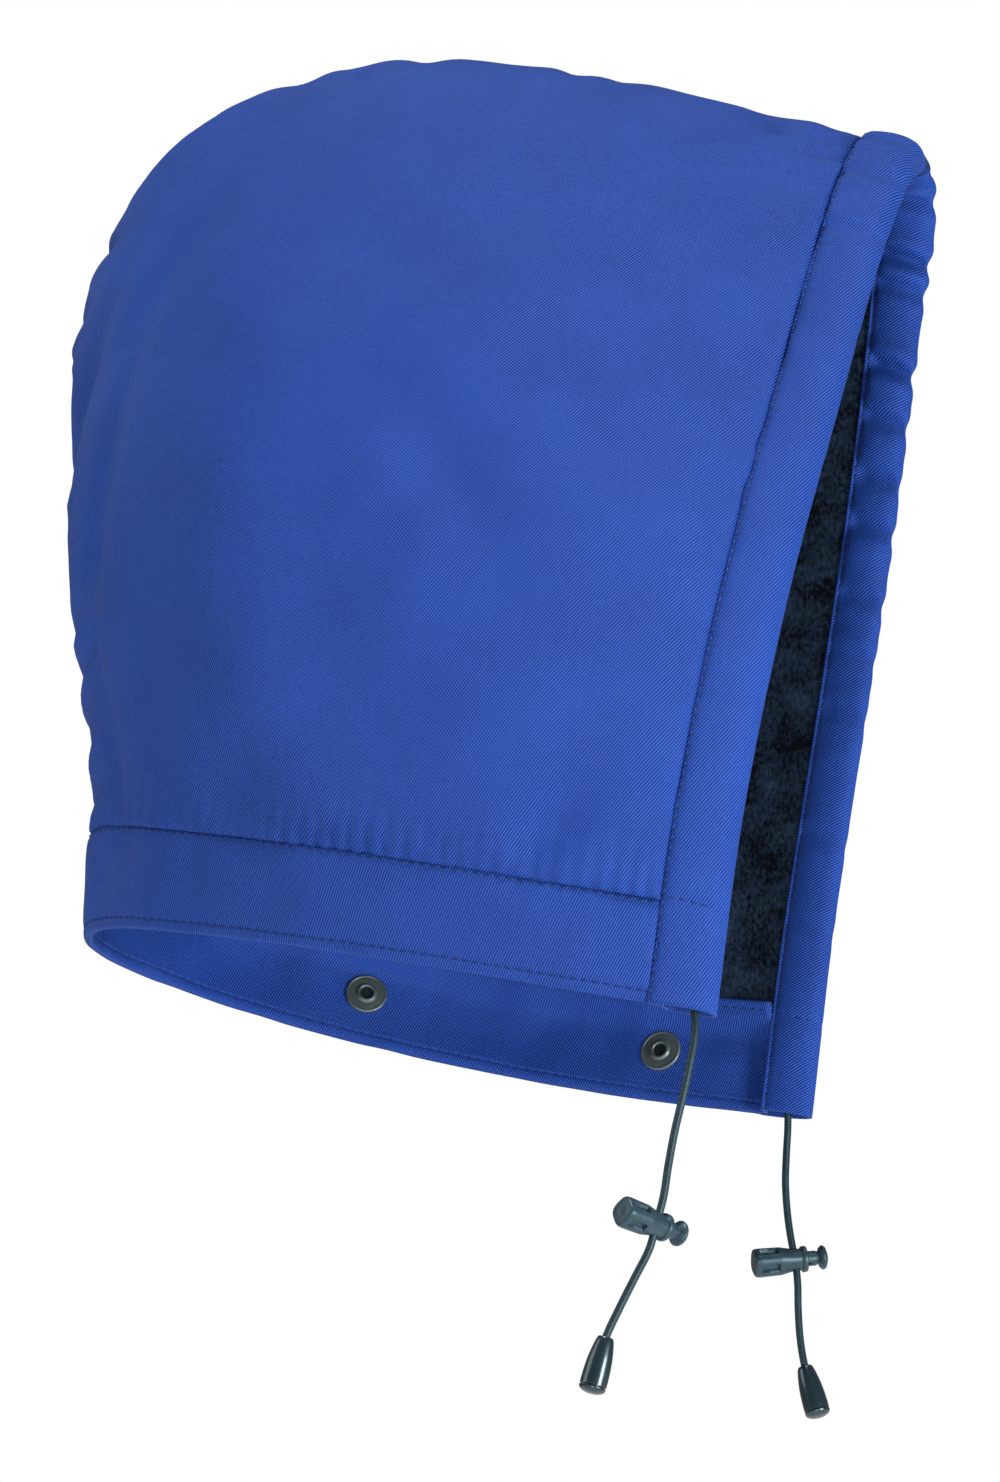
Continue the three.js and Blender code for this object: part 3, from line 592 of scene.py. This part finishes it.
def grid_mesh(name, points, flat, flip=False):
    """A grid of squares laid on an array of points, with the cloth's flat pattern as its UV map."""
    rows, columns = points.shape[:2]
    bm = bmesh.new()
    bmesh.ops.create_grid(bm, x_segments=columns - 1, y_segments=rows - 1, size=1)
    if flip:
        bmesh.ops.reverse_faces(bm, faces=bm.faces)
    mesh = mesh_from(bm, name)
    place = np.zeros(len(mesh.vertices) * 3)
    mesh.vertices.foreach_get("co", place)
    place = place.reshape(-1, 3)
    i = np.rint((place[:, 1] + 1) / 2 * (rows - 1)).astype(int)
    j = np.rint((place[:, 0] + 1) / 2 * (columns - 1)).astype(int)
    mesh.vertices.foreach_set("co", points[i, j].ravel())
    corners = np.zeros(len(mesh.loops), int)
    mesh.loops.foreach_get("vertex_index", corners)
    layer = mesh.uv_layers.new(name="cloth")
    layer.data.foreach_set("uv", flat[i, j][corners].ravel())
    mesh.update()
    return mesh


def merged(mesh, near=0.00002):
    bm = bmesh.new()
    bm.from_mesh(mesh)
    bmesh.ops.remove_doubles(bm, verts=bm.verts, dist=near)
    bm.to_mesh(mesh)
    bm.free()
    return mesh


def thicken(mesh, thickness):
    bm = bmesh.new()
    bm.from_mesh(mesh)
    bmesh.ops.solidify(bm, geom=bm.faces, thickness=thickness)
    bmesh.ops.recalc_face_normals(bm, faces=bm.faces)
    bm.to_mesh(mesh)
    bm.free()
    return mesh


# Side panels: their edges sink towards the seams, and their padding swells in waves of a height, a pitch
# and a reach from the seam
panel_rows = 196
coarse_step = 15
panel_wall = 0.004
deeper_dents = 0.4
crown_drop, crown_reach = 0.0026, 0.010
stitch_drop, stitch_reach = 0.0015, 0.006
pucker_pitch, pucker_deep, pucker_tall = 0.0062, 0.0009, 0.012
pucker_least, pucker_middle, pucker_spread = 0.4, 0.03, 0.13
seam_waves = (0.0009, 0.045, 0.016)
face_waves = (0.0013, 0.026, 0.022)
band_waves = (0.0010, 0.03, 0.018)
broad_waves = (0.0014, 0.055, 0.03)
fine_waves = (0.0004, 0.02, 0.02)


# Shares from 0 to 1 that lie closer together at both ends
def eased(count):
    plain = np.linspace(0, 1, count)
    return 0.4 * plain + 0.6 * (0.5 - 0.5 * np.cos(np.pi * plain))


def creased(points):
    back, up = points[..., 1], points[..., 2] - whole_wall
    out = np.zeros(points.shape[:-1])
    for start_back, start_up, end_back, end_up, deep, wide in creases:
        from_back, from_up = back - start_back * hood_depth, up - start_up * hood_height
        run_back, run_up = (end_back - start_back) * hood_depth, (end_up - start_up) * hood_height
        share = (from_back * run_back + from_up * run_up) / (run_back**2 + run_up**2)
        on = np.clip(share, 0, 1)
        apart = np.hypot(from_back - on * run_back, from_up - on * run_up) / (wide * crease_width)
        valley = np.exp(-(apart**2)) - crease_ridge * np.exp(-((apart - 2) ** 2))
        out -= deep * crease_depth * (1 - on) * valley
    return out


def panel_relief(side, points, share_back, share_up):
    to_face = lengths_along(points)
    to_band = lengths_along(points.transpose(1, 0, 2)).T
    to_back, to_crown = to_face[-1:] - to_face, to_band[:, -1:] - to_band
    to_seam = np.minimum(to_back, to_crown)
    place = share_back - share_up
    seed = panel_seeds[side]
    out = rolled(to_seam, crown_reach, crown_drop)
    out = np.minimum(out, rolled(to_face, stitch_reach, stitch_drop))
    out = np.minimum(out, rolled(to_band, stitch_reach, stitch_drop))
    deep, pitch, reach = seam_waves
    reach = reach + 0.008 * wander(place, 0.11, seed)
    out += deep * wander(place, pitch, seed + 1) * np.exp(-to_seam / reach)
    deep, pitch, reach = face_waves
    out += deep * wander(share_up + 0.5 * to_face, pitch, seed + 2) * np.exp(-to_face / reach)
    deep, pitch, reach = band_waves
    out += deep * wander(share_back - 1.5 * to_band, pitch, seed + 3) * np.exp(-to_band / reach)
    beat = 2 * np.pi * (to_face + 0.0015 * wander(to_face, 0.02, seed + 5)) / pucker_pitch
    y, z = points[..., 1], points[..., 2]
    nearness = np.exp(-(((y / hood_depth - pucker_middle) / pucker_spread) ** 2))
    fullness = pucker_least + (1 - pucker_least) * nearness
    out += pucker_deep * fullness * np.sin(beat) * np.exp(-((to_band / pucker_tall) ** 2))
    deep, pitch, reach = broad_waves
    out += deep * uneven(y + 0.6 * z, z - 0.6 * y, pitch, seed + 4) * np.minimum(1, to_seam / reach)
    deep, pitch, reach = fine_waves
    out += deep * uneven(y - 0.4 * z, z + 0.4 * y, pitch, seed + 6) * np.minimum(1, to_seam / reach)
    return out + deeper_dents * dented(points) + creased(points) * (1 if side < 0 else far_crease_share)


def side_panel(side, look):
    share = eased(panel_rows)
    share_back, share_up = np.meshgrid(share, share, indexing="ij")
    a, b = panel_place(share_back, share_up, band_height + clearance)
    plain = outer_point(side, a, b)
    relief = panel_relief(side, plain, share_back, share_up)
    points = cloth_point(side, a, b, -relief, clearance)
    coarse = plain[::coarse_step, ::coarse_step]
    start = np.stack([side * coarse[..., 1], coarse[..., 2]], -1)
    flat = smooth_grid(flat_pattern(coarse, start), panel_rows, panel_rows)
    name = "right_panel_cloth" if side < 0 else "left_panel_cloth"
    mesh = thicken(grid_mesh(name, points, flat, side > 0), panel_wall)
    made = make_piece(name, mesh, look)
    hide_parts("right_panel" if side < 0 else "left_panel")


# Lining: its outer side lies against the panels and its pile stands towards the head
lining_rows = 150
tuft_pitch, tuft_height = 0.0035, 0.0005
mirror_near = 0.00005


def pile_lining(look):
    share = np.linspace(0, 1, lining_rows)
    share_back, share_up = np.meshgrid(share, share, indexing="ij")
    a, b = panel_place(share_back, share_up, band_height + clearance, casing_inner_edge)
    points = cloth_point(1, a, b, shell_wall + clearance)
    flat = points[..., 1:]
    tufts = uneven(points[..., 1], points[..., 2], tuft_pitch, tuft_seed) - 1
    points = points + outward(1, a, b) * (tufts * tuft_height)[..., None]
    points[:, -1, 0] = 0
    points[-1, :, 0] = 0
    bm = bmesh.new()
    bm.from_mesh(grid_mesh("lining_pile", points, flat))
    bmesh.ops.mirror(bm, geom=bm.verts[:] + bm.edges[:] + bm.faces[:], axis="X", merge_dist=mirror_near)
    bmesh.ops.remove_doubles(bm, verts=bm.verts, dist=mirror_near)
    bmesh.ops.recalc_face_normals(bm, faces=bm.faces)
    mesh = thicken(mesh_from(bm, "lining_pile"), lining_wall - 2 * tuft_height)
    made = make_piece("lining_pile", mesh, look)
    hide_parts("right_lining", "left_lining")


# Casing section: a share of its width behind the face edge, a share of the whole wall inwards, and 0 to 1
# from the outer to the inner side, which is casing_inner_width wide and ends in a stitched welt
casing_section = [
    (1.045, 0.3, 0), (1.0, 0.15, 0), (0.985, 0.12, 0), (0.965, 0.115, 0), (0.92, 0.04, 0),
    (0.8, -0.04, 0), (0.5, -0.1, 0), (0.22, -0.02, 0), (0.06, 0.2, 0), (0.0, 0.5, 0.5),
    (0.05, 0.8, 1), (0.2, 1.0, 1), (0.5, 1.13, 1), (0.8, 1.1, 1), (0.92, 0.99, 1),
    (0.95, 1.03, 1), (0.98, 1.06, 1), (1.015, 1.02, 1), (1.035, 0.88, 1), (1.0, 0.62, 1), (1.0, 0.5, 0.5),
]
casing_stitch_row, casing_front_row, welt_stitch_row = 3, 9, 14
casing_steps = 4
casing_around = casing_steps * len(casing_section)
casing_rows = 240
casing_weave_lean = math.radians(10.9)
apex_swell = 0.0022
outer_wrinkle, high_wrinkle, outer_wrinkle_pitch = 0.0004, 0.0006, 0.009
inner_wrinkle, inner_wrinkle_pitch = 0.0013, 0.012
groove_depth, groove_width = 0.0009, 0.0013

# Over the casing's front edge the cloth bulges forwards, and the gathers are shallow there
front_calm, front_calm_turn = 0.8, 0.055
front_bulge, front_bulge_turn = 0.0012, 0.07
apex_bulges = {-1: 0.001, 1: 0.003}
front_gather_share = 0.3


def gathered(rows, length, turn):
    """Height of the gathers: sharp valleys between fuller ridges, slanting round the casing."""
    out = np.zeros(np.broadcast(length, turn).shape)
    for at, deep in rows:
        apart = (length - at * length[-1] - gather_slant * (turn - gather_slant_from)) / gather_width
        after = gather_ridge_after * np.exp(-((apart - gather_ridge_apart) ** 2))
        before = gather_ridge_before * np.exp(-((apart + gather_ridge_apart) ** 2))
        out -= deep * gather_depth * (np.exp(-(apart**2)) - (after + before))
    return out


def casing_half(side):
    even = np.linspace(0, 1, casing_rows)
    b = 0.5 * 2 * np.arcsin(even) / np.pi + 0.5 * even
    section = along(casing_section + casing_section[:1], np.linspace(0, 1, casing_around + 1))
    widths = casing_width + (casing_inner_width - casing_width) * section[:, 2]
    a = behind_face(b, section[:, 0] * widths)
    plain = outer_point(side, a, b[:, None])
    length = lengths_along(plain[:, casing_steps * casing_front_row])[:, None]
    height = length / length[-1]
    turn = np.linspace(0, 1, casing_around + 1)[None, :]
    front = casing_front_row / len(casing_section)
    welt = welt_stitch_row / len(casing_section)
    free = smooth(np.clip(turn / 0.14, 0, 1) * np.clip((welt - turn) / 0.07, 0, 1))
    seed = casing_seeds[side]
    small = outer_wrinkle + high_wrinkle * height**2
    small = small * wander(length + 0.01 * turn, outer_wrinkle_pitch, seed)
    inner = inner_wrinkle * height * np.clip((turn - front) / 0.1, 0, 1)
    small = small + inner * wander(length + 0.02 * turn, inner_wrinkle_pitch, seed + 1)
    folds = gathered(gathers[side], length, turn)
    apex = np.exp(-(((1 - height) / 0.07) ** 2))
    lift = free * (folds + small * (1 - height**20) + apex_swell * apex)
    lift *= 1 - front_calm * np.exp(-(((turn - front) / front_calm_turn) ** 2))
    groove = groove_depth * np.exp(-(((length - band_height) / groove_width) ** 2))
    lift -= groove * np.sin(np.pi * np.clip(turn / welt, 0, 1))
    outer_side = np.clip((front + 0.04 - turn) / 0.08, 0, 1) * 2 - 1
    depth = section[None, :, 1] * whole_wall - lift * outer_side
    points = cloth_point(side, a, b[:, None], depth)
    forward = unit(outer_point(side, 0, b) - outer_point(side, 0.03, b))[:, None, :]
    facing = np.exp(-(((turn - front) / front_bulge_turn) ** 2))
    bulge = front_bulge + apex_bulges[side] * np.exp(-(((height - 0.93) / 0.09) ** 2))
    points = points + forward * (facing * (bulge + front_gather_share * folds))[..., None]
    around = lengths_along(points[casing_rows // 2])
    flat_across = np.broadcast_to(around[None, :], (casing_rows, casing_around + 1))
    flat_along = np.broadcast_to(length, flat_across.shape)
    lean_sin, lean_cos = math.sin(casing_weave_lean), math.cos(casing_weave_lean)
    flat = np.stack([
        -side * (flat_along * lean_sin + flat_across * lean_cos),
        flat_along * lean_cos - flat_across * lean_sin,
    ], -1)
    return points, flat, length[:, 0]


def joined_halves(right, left):
    return np.concatenate([right, left[:-1][::-1]])


def face_casing(look):
    right, right_flat, length = casing_half(-1)
    left, left_flat, _ = casing_half(1)
    points = joined_halves(right, left)
    mesh = merged(grid_mesh("casing_cloth", points, joined_halves(right_flat, left_flat)))
    made = make_piece("casing_cloth", thicken(mesh, cloth_thickness), look)
    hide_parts("face_casing")
    level = int(np.argmin(np.abs(length - band_height)))
    outer = slice(casing_steps * casing_stitch_row, casing_steps * (casing_front_row - 1))
    inner = slice(casing_steps * (casing_front_row + 1), casing_steps * welt_stitch_row)
    lines = [points[:, casing_steps * casing_stitch_row], points[:, casing_steps * welt_stitch_row]]
    return lines + [half[level, part] for half in (right, left) for part in (outer, inner)]


# Neck band section: a share of band_height above the hem and a share of band_wall inwards. Its inner side
# lies over the pile's lower edge.
band_section = [
    (1.03, 0.5), (1.003, 0.13), (0.985, 0.08), (0.965, 0.07), (0.92, -0.04), (0.75, -0.06), (0.5, -0.08),
    (0.2, -0.04), (0.14, 0.0), (0.11, 0.1), (0.08, 0.0), (0.03, 0.06), (0.0, 0.3), (0.012, 0.42),
    (0.0, 0.58), (0.02, 0.88), (0.08, 1.0), (0.11, 0.91), (0.14, 1.0), (0.5, 1.02), (0.82, 1.1),
    (0.94, 2.0), (1.02, 2.5), (1.09, 2.62), (1.13, 2.8), (1.17, 2.84), (1.19, 2.6), (1.14, 2.3),
    (1.0, 1.6), (0.95, 1.05),
]
band_seam_row, hem_row, inner_hem_row, inner_top_row = 2, 9, 17, 23
band_steps = 3
band_around = band_steps * len(band_section)
band_rows = 210
band_weave_lean = math.radians(18)
hem_drop = 0.0022

# Waves of the band: height and pitch of the long ones and of the patches, and height, reach and pitch of
# those along the hem
long_waves = (0.0016, 0.024)
patch_waves = (0.0014, 0.016)
hem_waves = (0.0004, 0.006, 0.012)


def band_half(side):
    share = 0.5 * np.linspace(0, 1, band_rows) + 0.5 * np.sin(np.linspace(0, np.pi / 2, band_rows))
    section = along(band_section + band_section[:1], np.linspace(0, 1, band_around + 1))
    up, inward = section[:, 0], section[:, 1]
    share_back = np.broadcast_to(share[:, None], (band_rows, band_around + 1))
    a, b = panel_place(share_back, np.zeros_like(share_back), 0.0)
    past_hem = np.arange(band_around + 1) > hem_row * band_steps
    inside = np.clip((inward - 0.5) / 0.3, 0, 1)[None, :] * past_hem
    for _ in range(5):
        b = above_hem(a[:, 0], up * band_height)
        outer_start = np.interp(b, samples, casing_edge)
        start_a = outer_start * (1 - inside) + np.interp(b, samples, casing_inner_edge) * inside
        a = start_a + (1 - start_a) * share_back
    plain = outer_point(side, a, b)
    length = lengths_along(plain[:, 0])
    seed = band_seeds[side]
    middle = np.sin(np.pi * np.clip(up / up.max(), 0, 1))[None, :]
    tall = up[None, :] * band_height
    deep, pitch = long_waves
    wavy = deep * middle * wander(length[:, None] + 0.15 * tall, pitch, seed)
    deep, pitch = patch_waves
    wavy = wavy + deep * middle * uneven(length[:, None], tall, pitch, seed + 1)
    for from_face in stud_places.values():
        from_stud = (length - from_face + casing_width) / stud_diameter
        wavy = wavy * (1 - np.exp(-(from_stud**4)))[:, None]
    deep, reach, pitch = hem_waves
    hem_wave = deep * np.exp(-((tall / reach) ** 2)) * wander(length[:, None], pitch, seed + 2)
    points = cloth_point(side, a, b, band_set_in + inward[None, :] * band_wall + wavy + hem_wave)
    points[..., 2] -= hem_drop * np.clip(share_back * 1.6 - 0.5, 0, 1) * (1 - np.clip(up, 0, 1))[None, :]
    across = lengths_along(points[band_rows // 2])
    lean_sin, lean_cos = math.sin(band_weave_lean), math.cos(band_weave_lean)
    flat_u = np.broadcast_to(length[:, None] * side, share_back.shape)
    flat_v = np.broadcast_to(-across[None, :], share_back.shape)
    flat = np.stack([flat_u * lean_cos + flat_v * lean_sin, flat_v * lean_cos - flat_u * lean_sin], -1)
    return points, flat


def neck_band(look):
    right, right_flat = band_half(-1)
    left, left_flat = band_half(1)
    points = joined_halves(right, left)
    mesh = merged(grid_mesh("band_cloth", points, joined_halves(right_flat, left_flat), True))
    made = make_piece("band_cloth", thicken(mesh, cloth_thickness), look)
    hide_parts("neck_band")
    rows = (band_seam_row, hem_row, inner_hem_row, inner_top_row)
    return [points[:, band_steps * row] for row in rows]


# Stitches: short thick threads laid end to end along lines on the cloth
stitch_length = 0.0027
stitch_gap = 0.0009
thread_thickness = 0.0007


def stitches(name, lines, look):
    bm = bmesh.new()
    for line in lines:
        gone = lengths_along(line)
        middles = np.arange(stitch_length, gone[-1] - stitch_length, stitch_length + stitch_gap)
        ends = [
            np.stack([np.interp(middles + reach, gone, line[:, k]) for k in range(3)], -1)
            for reach in (-stitch_length / 2, stitch_length / 2)
        ]
        for start, end in zip(*ends):
            run = Vector(end - start)
            turn = run.to_track_quat("Z", "Y").to_matrix().to_4x4()
            size = Matrix.Diagonal((thread_thickness / 2, thread_thickness / 2, run.length / 2, 1))
            place = Matrix.Translation(Vector((start + end) / 2)) @ turn @ size
            bmesh.ops.create_icosphere(bm, subdivisions=1, radius=1, matrix=place)
    make_piece(name, mesh_from(bm, name), look)


# Drawcords: a tube with lengthwise ridges
cord_around = 24
cord_stations = 8
cord_ridges = 5


def drawcord(side_name, look):
    rows = np.array(cord_routes[side_name])
    path = along(rows, np.linspace(0, 1, cord_stations * (len(rows) - 1) + 1))
    run = unit(np.gradient(path, axis=0))
    wide = unit(np.cross(run, (1, 0, 0)))
    tall = np.cross(run, wide)
    turn = np.linspace(0, 2 * np.pi, cord_around + 1)[None, :, None]
    radius = cord_diameter / 2 * (0.96 + 0.045 * np.cos(cord_ridges * turn))
    points = path[:, None] + radius * (np.cos(turn) * wide[:, None] + np.sin(turn) * tall[:, None])
    gone = lengths_along(path)[:, None]
    flat_across = turn[..., 0] * cord_diameter / 2
    flat = np.stack(np.broadcast_arrays(flat_across, gone), -1)
    name = f"drawcord_{side_name}_cord"
    bm = bmesh.new()
    bm.from_mesh(grid_mesh(name, points, flat))
    bmesh.ops.remove_doubles(bm, verts=bm.verts, dist=0.00001)
    bmesh.ops.holes_fill(bm, edges=[edge for edge in bm.edges if edge.is_boundary], sides=0)
    bmesh.ops.recalc_face_normals(bm, faces=bm.faces)
    made = make_piece(name, mesh_from(bm, name), look)
    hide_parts(f"drawcord_{side_name}")
    return made, path


# Turned pieces: a profile of radius and height in millimetres, spun round its axis and put in its place
mm = 0.001
turned_steps = 48
turned_sharp = math.radians(38)


def frame_at(origin, axis, towards):
    z = Vector(axis).normalized()
    x = Vector(towards)
    x = (x - z * x.dot(z)).normalized()
    turn = Matrix((x, z.cross(x), z)).transposed().to_4x4()
    return Matrix.Translation(Vector(origin)) @ turn


def turned_piece(name, profile, place, look, node=None):
    bm = bmesh.new()
    ring = [bm.verts.new((radius * mm, 0, height * mm)) for radius, height in profile]
    edges = [bm.edges.new(pair) for pair in zip(ring, ring[1:])]
    bmesh.ops.spin(
        bm, geom=ring + edges, cent=(0, 0, 0), axis=(0, 0, 1), dvec=(0, 0, 0), angle=2 * math.pi,
        steps=turned_steps, use_merge=True, use_duplicate=False,
    )
    bmesh.ops.remove_doubles(bm, verts=bm.verts, dist=0.000002)
    bmesh.ops.recalc_face_normals(bm, faces=bm.faces)
    bmesh.ops.transform(bm, matrix=place, verts=bm.verts)
    mesh = mesh_from(bm, name)
    made = make_piece(name, mesh, look)
    mesh.set_sharp_from_angle(angle=turned_sharp)
    if node:
        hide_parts(node)
    return made


# Press stud: a slightly conical washer with a bevelled rim and a small ring round a cup, whose floor is a
# near-black disc: painted shade in the cup's hollow
stud_profile = [
    (0, -1.4), (2.2, -1.4), (2.2, -0.05), (7.3, -0.05), (7.5, 0.15), (7.5, 0.75), (7.38, 1.0),
    (7.1, 1.18), (6.75, 1.25), (6.55, 1.2), (6.45, 1.08), (5.2, 1.2), (4.2, 1.3), (3.95, 1.28),
    (3.8, 1.35), (3.62, 1.7), (3.45, 1.95), (3.15, 2.1), (2.75, 2.1), (2.5, 1.98), (2.3, 1.75),
    (2.2, 1.2), (2.2, 0.9), (0, 0.9),
]
socket_profile = [(0, 0.95), (2.15, 0.95), (2.15, 1.5), (2.25, 1.5), (2.25, 0.8), (0, 0.8)]


def press_stud(side, place_name, look, cup_shade_look):
    from_face = np.array([stud_places[place_name]])
    a = behind_face(np.array([0.0]), from_face)[0]
    b = above_hem(a, np.array([stud_above_hem]))[0]
    a = behind_face(b, from_face)[0]
    seat = cloth_point(side, a, b, band_set_in + band_wall - stud_sunk)[0]
    inwards = -outward(side, a, b)[0]
    node = f"press_stud_{'right' if side < 0 else 'left'}_{place_name}"
    place = frame_at(seat, inwards, (0, 0, 1))
    turned_piece(f"{node}_cap", stud_profile, place, look, node)
    turned_piece(f"{node}_socket", socket_profile, place, cup_shade_look)


# Bell and its plug, drawn along z from the bell's base up to where the cord goes in
bell_outside = [(4.3, 0.15), (4.3, 2.2), (4.2, 5.2), (3.9, 8.8), (3.35, 12.2), (2.85, 14.4), (2.5, 15.3)]


def bell_and_plug(side_name, look):
    rows = [Vector(row) for row in cord_routes[side_name]]
    run = (rows[-1] - rows[-2]).normalized()
    base = rows[-1] + run * (bell_length - bell_cord_depth + clearance)
    place = frame_at(base, -run, (1, 0, 0))
    outside = [tuple(row) for row in along(bell_outside, np.linspace(0, 1, 31))]
    bell = [(0, 1.6), (3.3, 1.6), (3.3, 0), (4.15, 0)] + outside
    bell += [(2.3, 15.55), (2.0, 15.6), (1.65, 15.5), (1.6, 15.2), (1.6, 6.6), (0, 6.6)]
    dome = [
        (4.25 * math.sin(turn), -0.75 - (plug_dome / mm - 0.6) * math.cos(turn))
        for turn in np.linspace(0, math.pi / 2, 12)
    ]
    plug = dome + [(4.3, -0.55), (4.28, -0.4), (4.1, -0.3), (3.0, -0.3), (3.0, 1.3), (0, 1.3)]
    bell_node, plug_node = f"cord_end_bell_{side_name}", f"cord_end_plug_{side_name}"
    return [
        turned_piece(f"{bell_node}_shell", bell, place, look, bell_node),
        turned_piece(f"{plug_node}_shell", plug, place, look, plug_node),
    ]


# Cord locks, in millimetres: the route's row that each one sits at, and the degrees that its button is
# turned about the cord from the face's direction
lock_rows = {"right": (7, 55), "left": (6, 24)}
lock_half_width = 4.4
lock_hole_at = 14.6
lock_hole_radius = 1.6
pocket_depth = 1.25
pocket_edge = 0.3
window_low, window_high, window_half_width = 2.2, 8.4, 1.3
barrel_around = 96
barrel_stride = 0.28
barrel_sharp = math.radians(60)

# The barrel from the middle of its closed head over its outside and down its bore: height, share of the half
# width, and how square the section is, where 2 is round
barrel_profile = [
    (0, 0, 3), (-0.1, 0.45, 3), (0, 0.85, 3), (0.25, 0.95, 3), (0.8, 1, 3), (2, 1.02, 3), (9.4, 1, 2.8),
    (12.8, 0.88, 2.4), (16, 0.84, 2.2), (16.6, 0.86, 2), (16.9, 0.98, 2), (17.1, 1.02, 2),
    (18.2, 1.02, 2), (18.5, 0.99, 2), (18.6, 0.9, 2), (18.6, 0.72, 2), (18.45, 0.67, 2), (18, 0.66, 2),
    (5, 0.66, 2), (4.6, 0, 2),
]


def lock_frame(side_name):
    rows = [Vector(row) for row in cord_routes[side_name]]
    at, swing = lock_rows[side_name]
    run = (rows[at + 1] - rows[at - 1]).normalized()
    to_face = (Vector((0, -1, 0)) + run * run.y).normalized()
    to_face = Matrix.Rotation(-math.radians(swing), 3, run) @ to_face
    return frame_at(rows[at] - to_face * lock_hole_at * mm, to_face, run)


def edge_ramp(inside):
    return smooth(np.clip(inside / pocket_edge + 0.5, 0, 1))


def lock_barrel(side_name, look):
    rows = np.array(barrel_profile, float)
    steps = []
    for start, end in zip(rows, rows[1:]):
        stretch = np.hypot(*(end - start)[:2] * (1, lock_half_width))
        steps.append(np.linspace(start, end, 1 + max(1, int(stretch / barrel_stride)))[:-1])
    height, share, square = np.concatenate(steps + [rows[-1:]]).T[:, :, None]
    turn = np.linspace(0, 2 * np.pi, barrel_around + 1)[None, :]
    corner = turn - np.pi / 4
    section = (np.abs(np.cos(corner)) ** square + np.abs(np.sin(corner)) ** square) ** (-1 / square)
    radius = lock_half_width * share * section
    outside = (np.arange(len(height)) < np.argmax(height[:, 0]))[:, None]
    beside_window = radius * np.abs(np.sin(2 * corner)) / 2
    window = edge_ramp(window_half_width - beside_window)
    window = window * edge_ramp(height - window_low) * edge_ramp(window_high - height)
    hole = edge_ramp(lock_hole_radius - np.hypot(radius * np.sin(turn), height - lock_hole_at))
    radius = radius - pocket_depth * outside * np.maximum(window, hole)
    points = np.stack([radius * np.cos(turn), radius * np.sin(turn), height + 0 * turn], -1) * mm
    flat = points[..., :2] * 0
    name = f"cord_lock_barrel_{side_name}_moulded"
    bm = bmesh.new()
    bm.from_mesh(grid_mesh(name, points, flat))
    bmesh.ops.remove_doubles(bm, verts=bm.verts, dist=0.000004)
    bmesh.ops.recalc_face_normals(bm, faces=bm.faces)
    bmesh.ops.transform(bm, matrix=lock_frame(side_name), verts=bm.verts)
    made = make_piece(name, mesh_from(bm, name), look)
    made.data.set_sharp_from_angle(angle=barrel_sharp)
    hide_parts(f"cord_lock_barrel_{side_name}")
    return made


# Buttons of the cord locks: the moulded shape with its edges rounded
moulded_edge = 0.00022
moulded_sharp = math.radians(50)
rounded_from = math.radians(30)


def moulded(node_name, body, look):
    bm = bmesh.new()
    bm.from_mesh(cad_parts[node_name].data)
    bmesh.ops.remove_doubles(bm, verts=bm.verts, dist=0.000005)
    bmesh.ops.dissolve_limit(bm, angle_limit=math.radians(2), verts=bm.verts, edges=bm.edges)
    sharp = [edge for edge in bm.edges if edge.is_manifold and edge.calc_face_angle() > rounded_from]
    bmesh.ops.bevel(
        bm, geom=sharp, affect="EDGES", offset=moulded_edge, segments=2, profile=0.5, material=-1,
        clamp_overlap=True,
    )
    name = f"{node_name}_moulded"
    mesh = mesh_from(bm, name)
    made = make_piece(name, mesh, look, body)
    mesh.set_sharp_from_angle(angle=moulded_sharp)
    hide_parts(node_name)
    return made


# Materials
cord_look = braided("elastic_cord", (0.0018, 0.0065, 0.009), (0.014, 0.034, 0.043))
lock_look = grained("lock_plastic", (0.013, 0.030, 0.040), 0.38, grain=0.00003, scale=2600)
bell_look = grained("bell_plastic", (0.004, 0.012, 0.017), 0.3, grain=0.000003, scale=900, coat=0.35)
stud_look = grained("gunmetal", (0.10, 0.125, 0.13), 0.4, grain=0.00002, scale=1500, metallic=0.65)
# Near-black disc and ring on the stud's cup floor: painted shade for the hollow
socket_shade_look = grained("socket_painted_shade", (0.002, 0.0025, 0.003), 0.6, grain=0.00002, scale=1500)
# The thread is darker than the cloth: partly its own colour, partly painted shade for the shadows in the
# stitch holes
thread_and_shade_look = grained("navy_thread_and_shade", (0.003, 0.012, 0.075), 0.75, grain=0.00005, scale=3000)
twill_look = twill("blue_twill", (0.0015, 0.010, 0.088), (0.0185, 0.078, 0.40))
pile_look = pile("navy_pile")

studio()
for side_name in cord_routes:
    cord, path = drawcord(side_name, cord_look)
    fittings = [
        lock_barrel(side_name, lock_look),
        moulded(f"cord_lock_button_{side_name}", f"{side_name}_lock_button", lock_look),
        *bell_and_plug(side_name, bell_look),
    ]
for side in (-1, 1):
    side_panel(side, twill_look)
    for place_name in stud_places:
        press_stud(side, place_name, stud_look, socket_shade_look)
pile_lining(pile_look)
casing_lines = face_casing(twill_look)
band_lines = neck_band(twill_look)
stitches("casing_stitches", casing_lines, thread_and_shade_look)
stitches("band_stitches", band_lines, thread_and_shade_look)
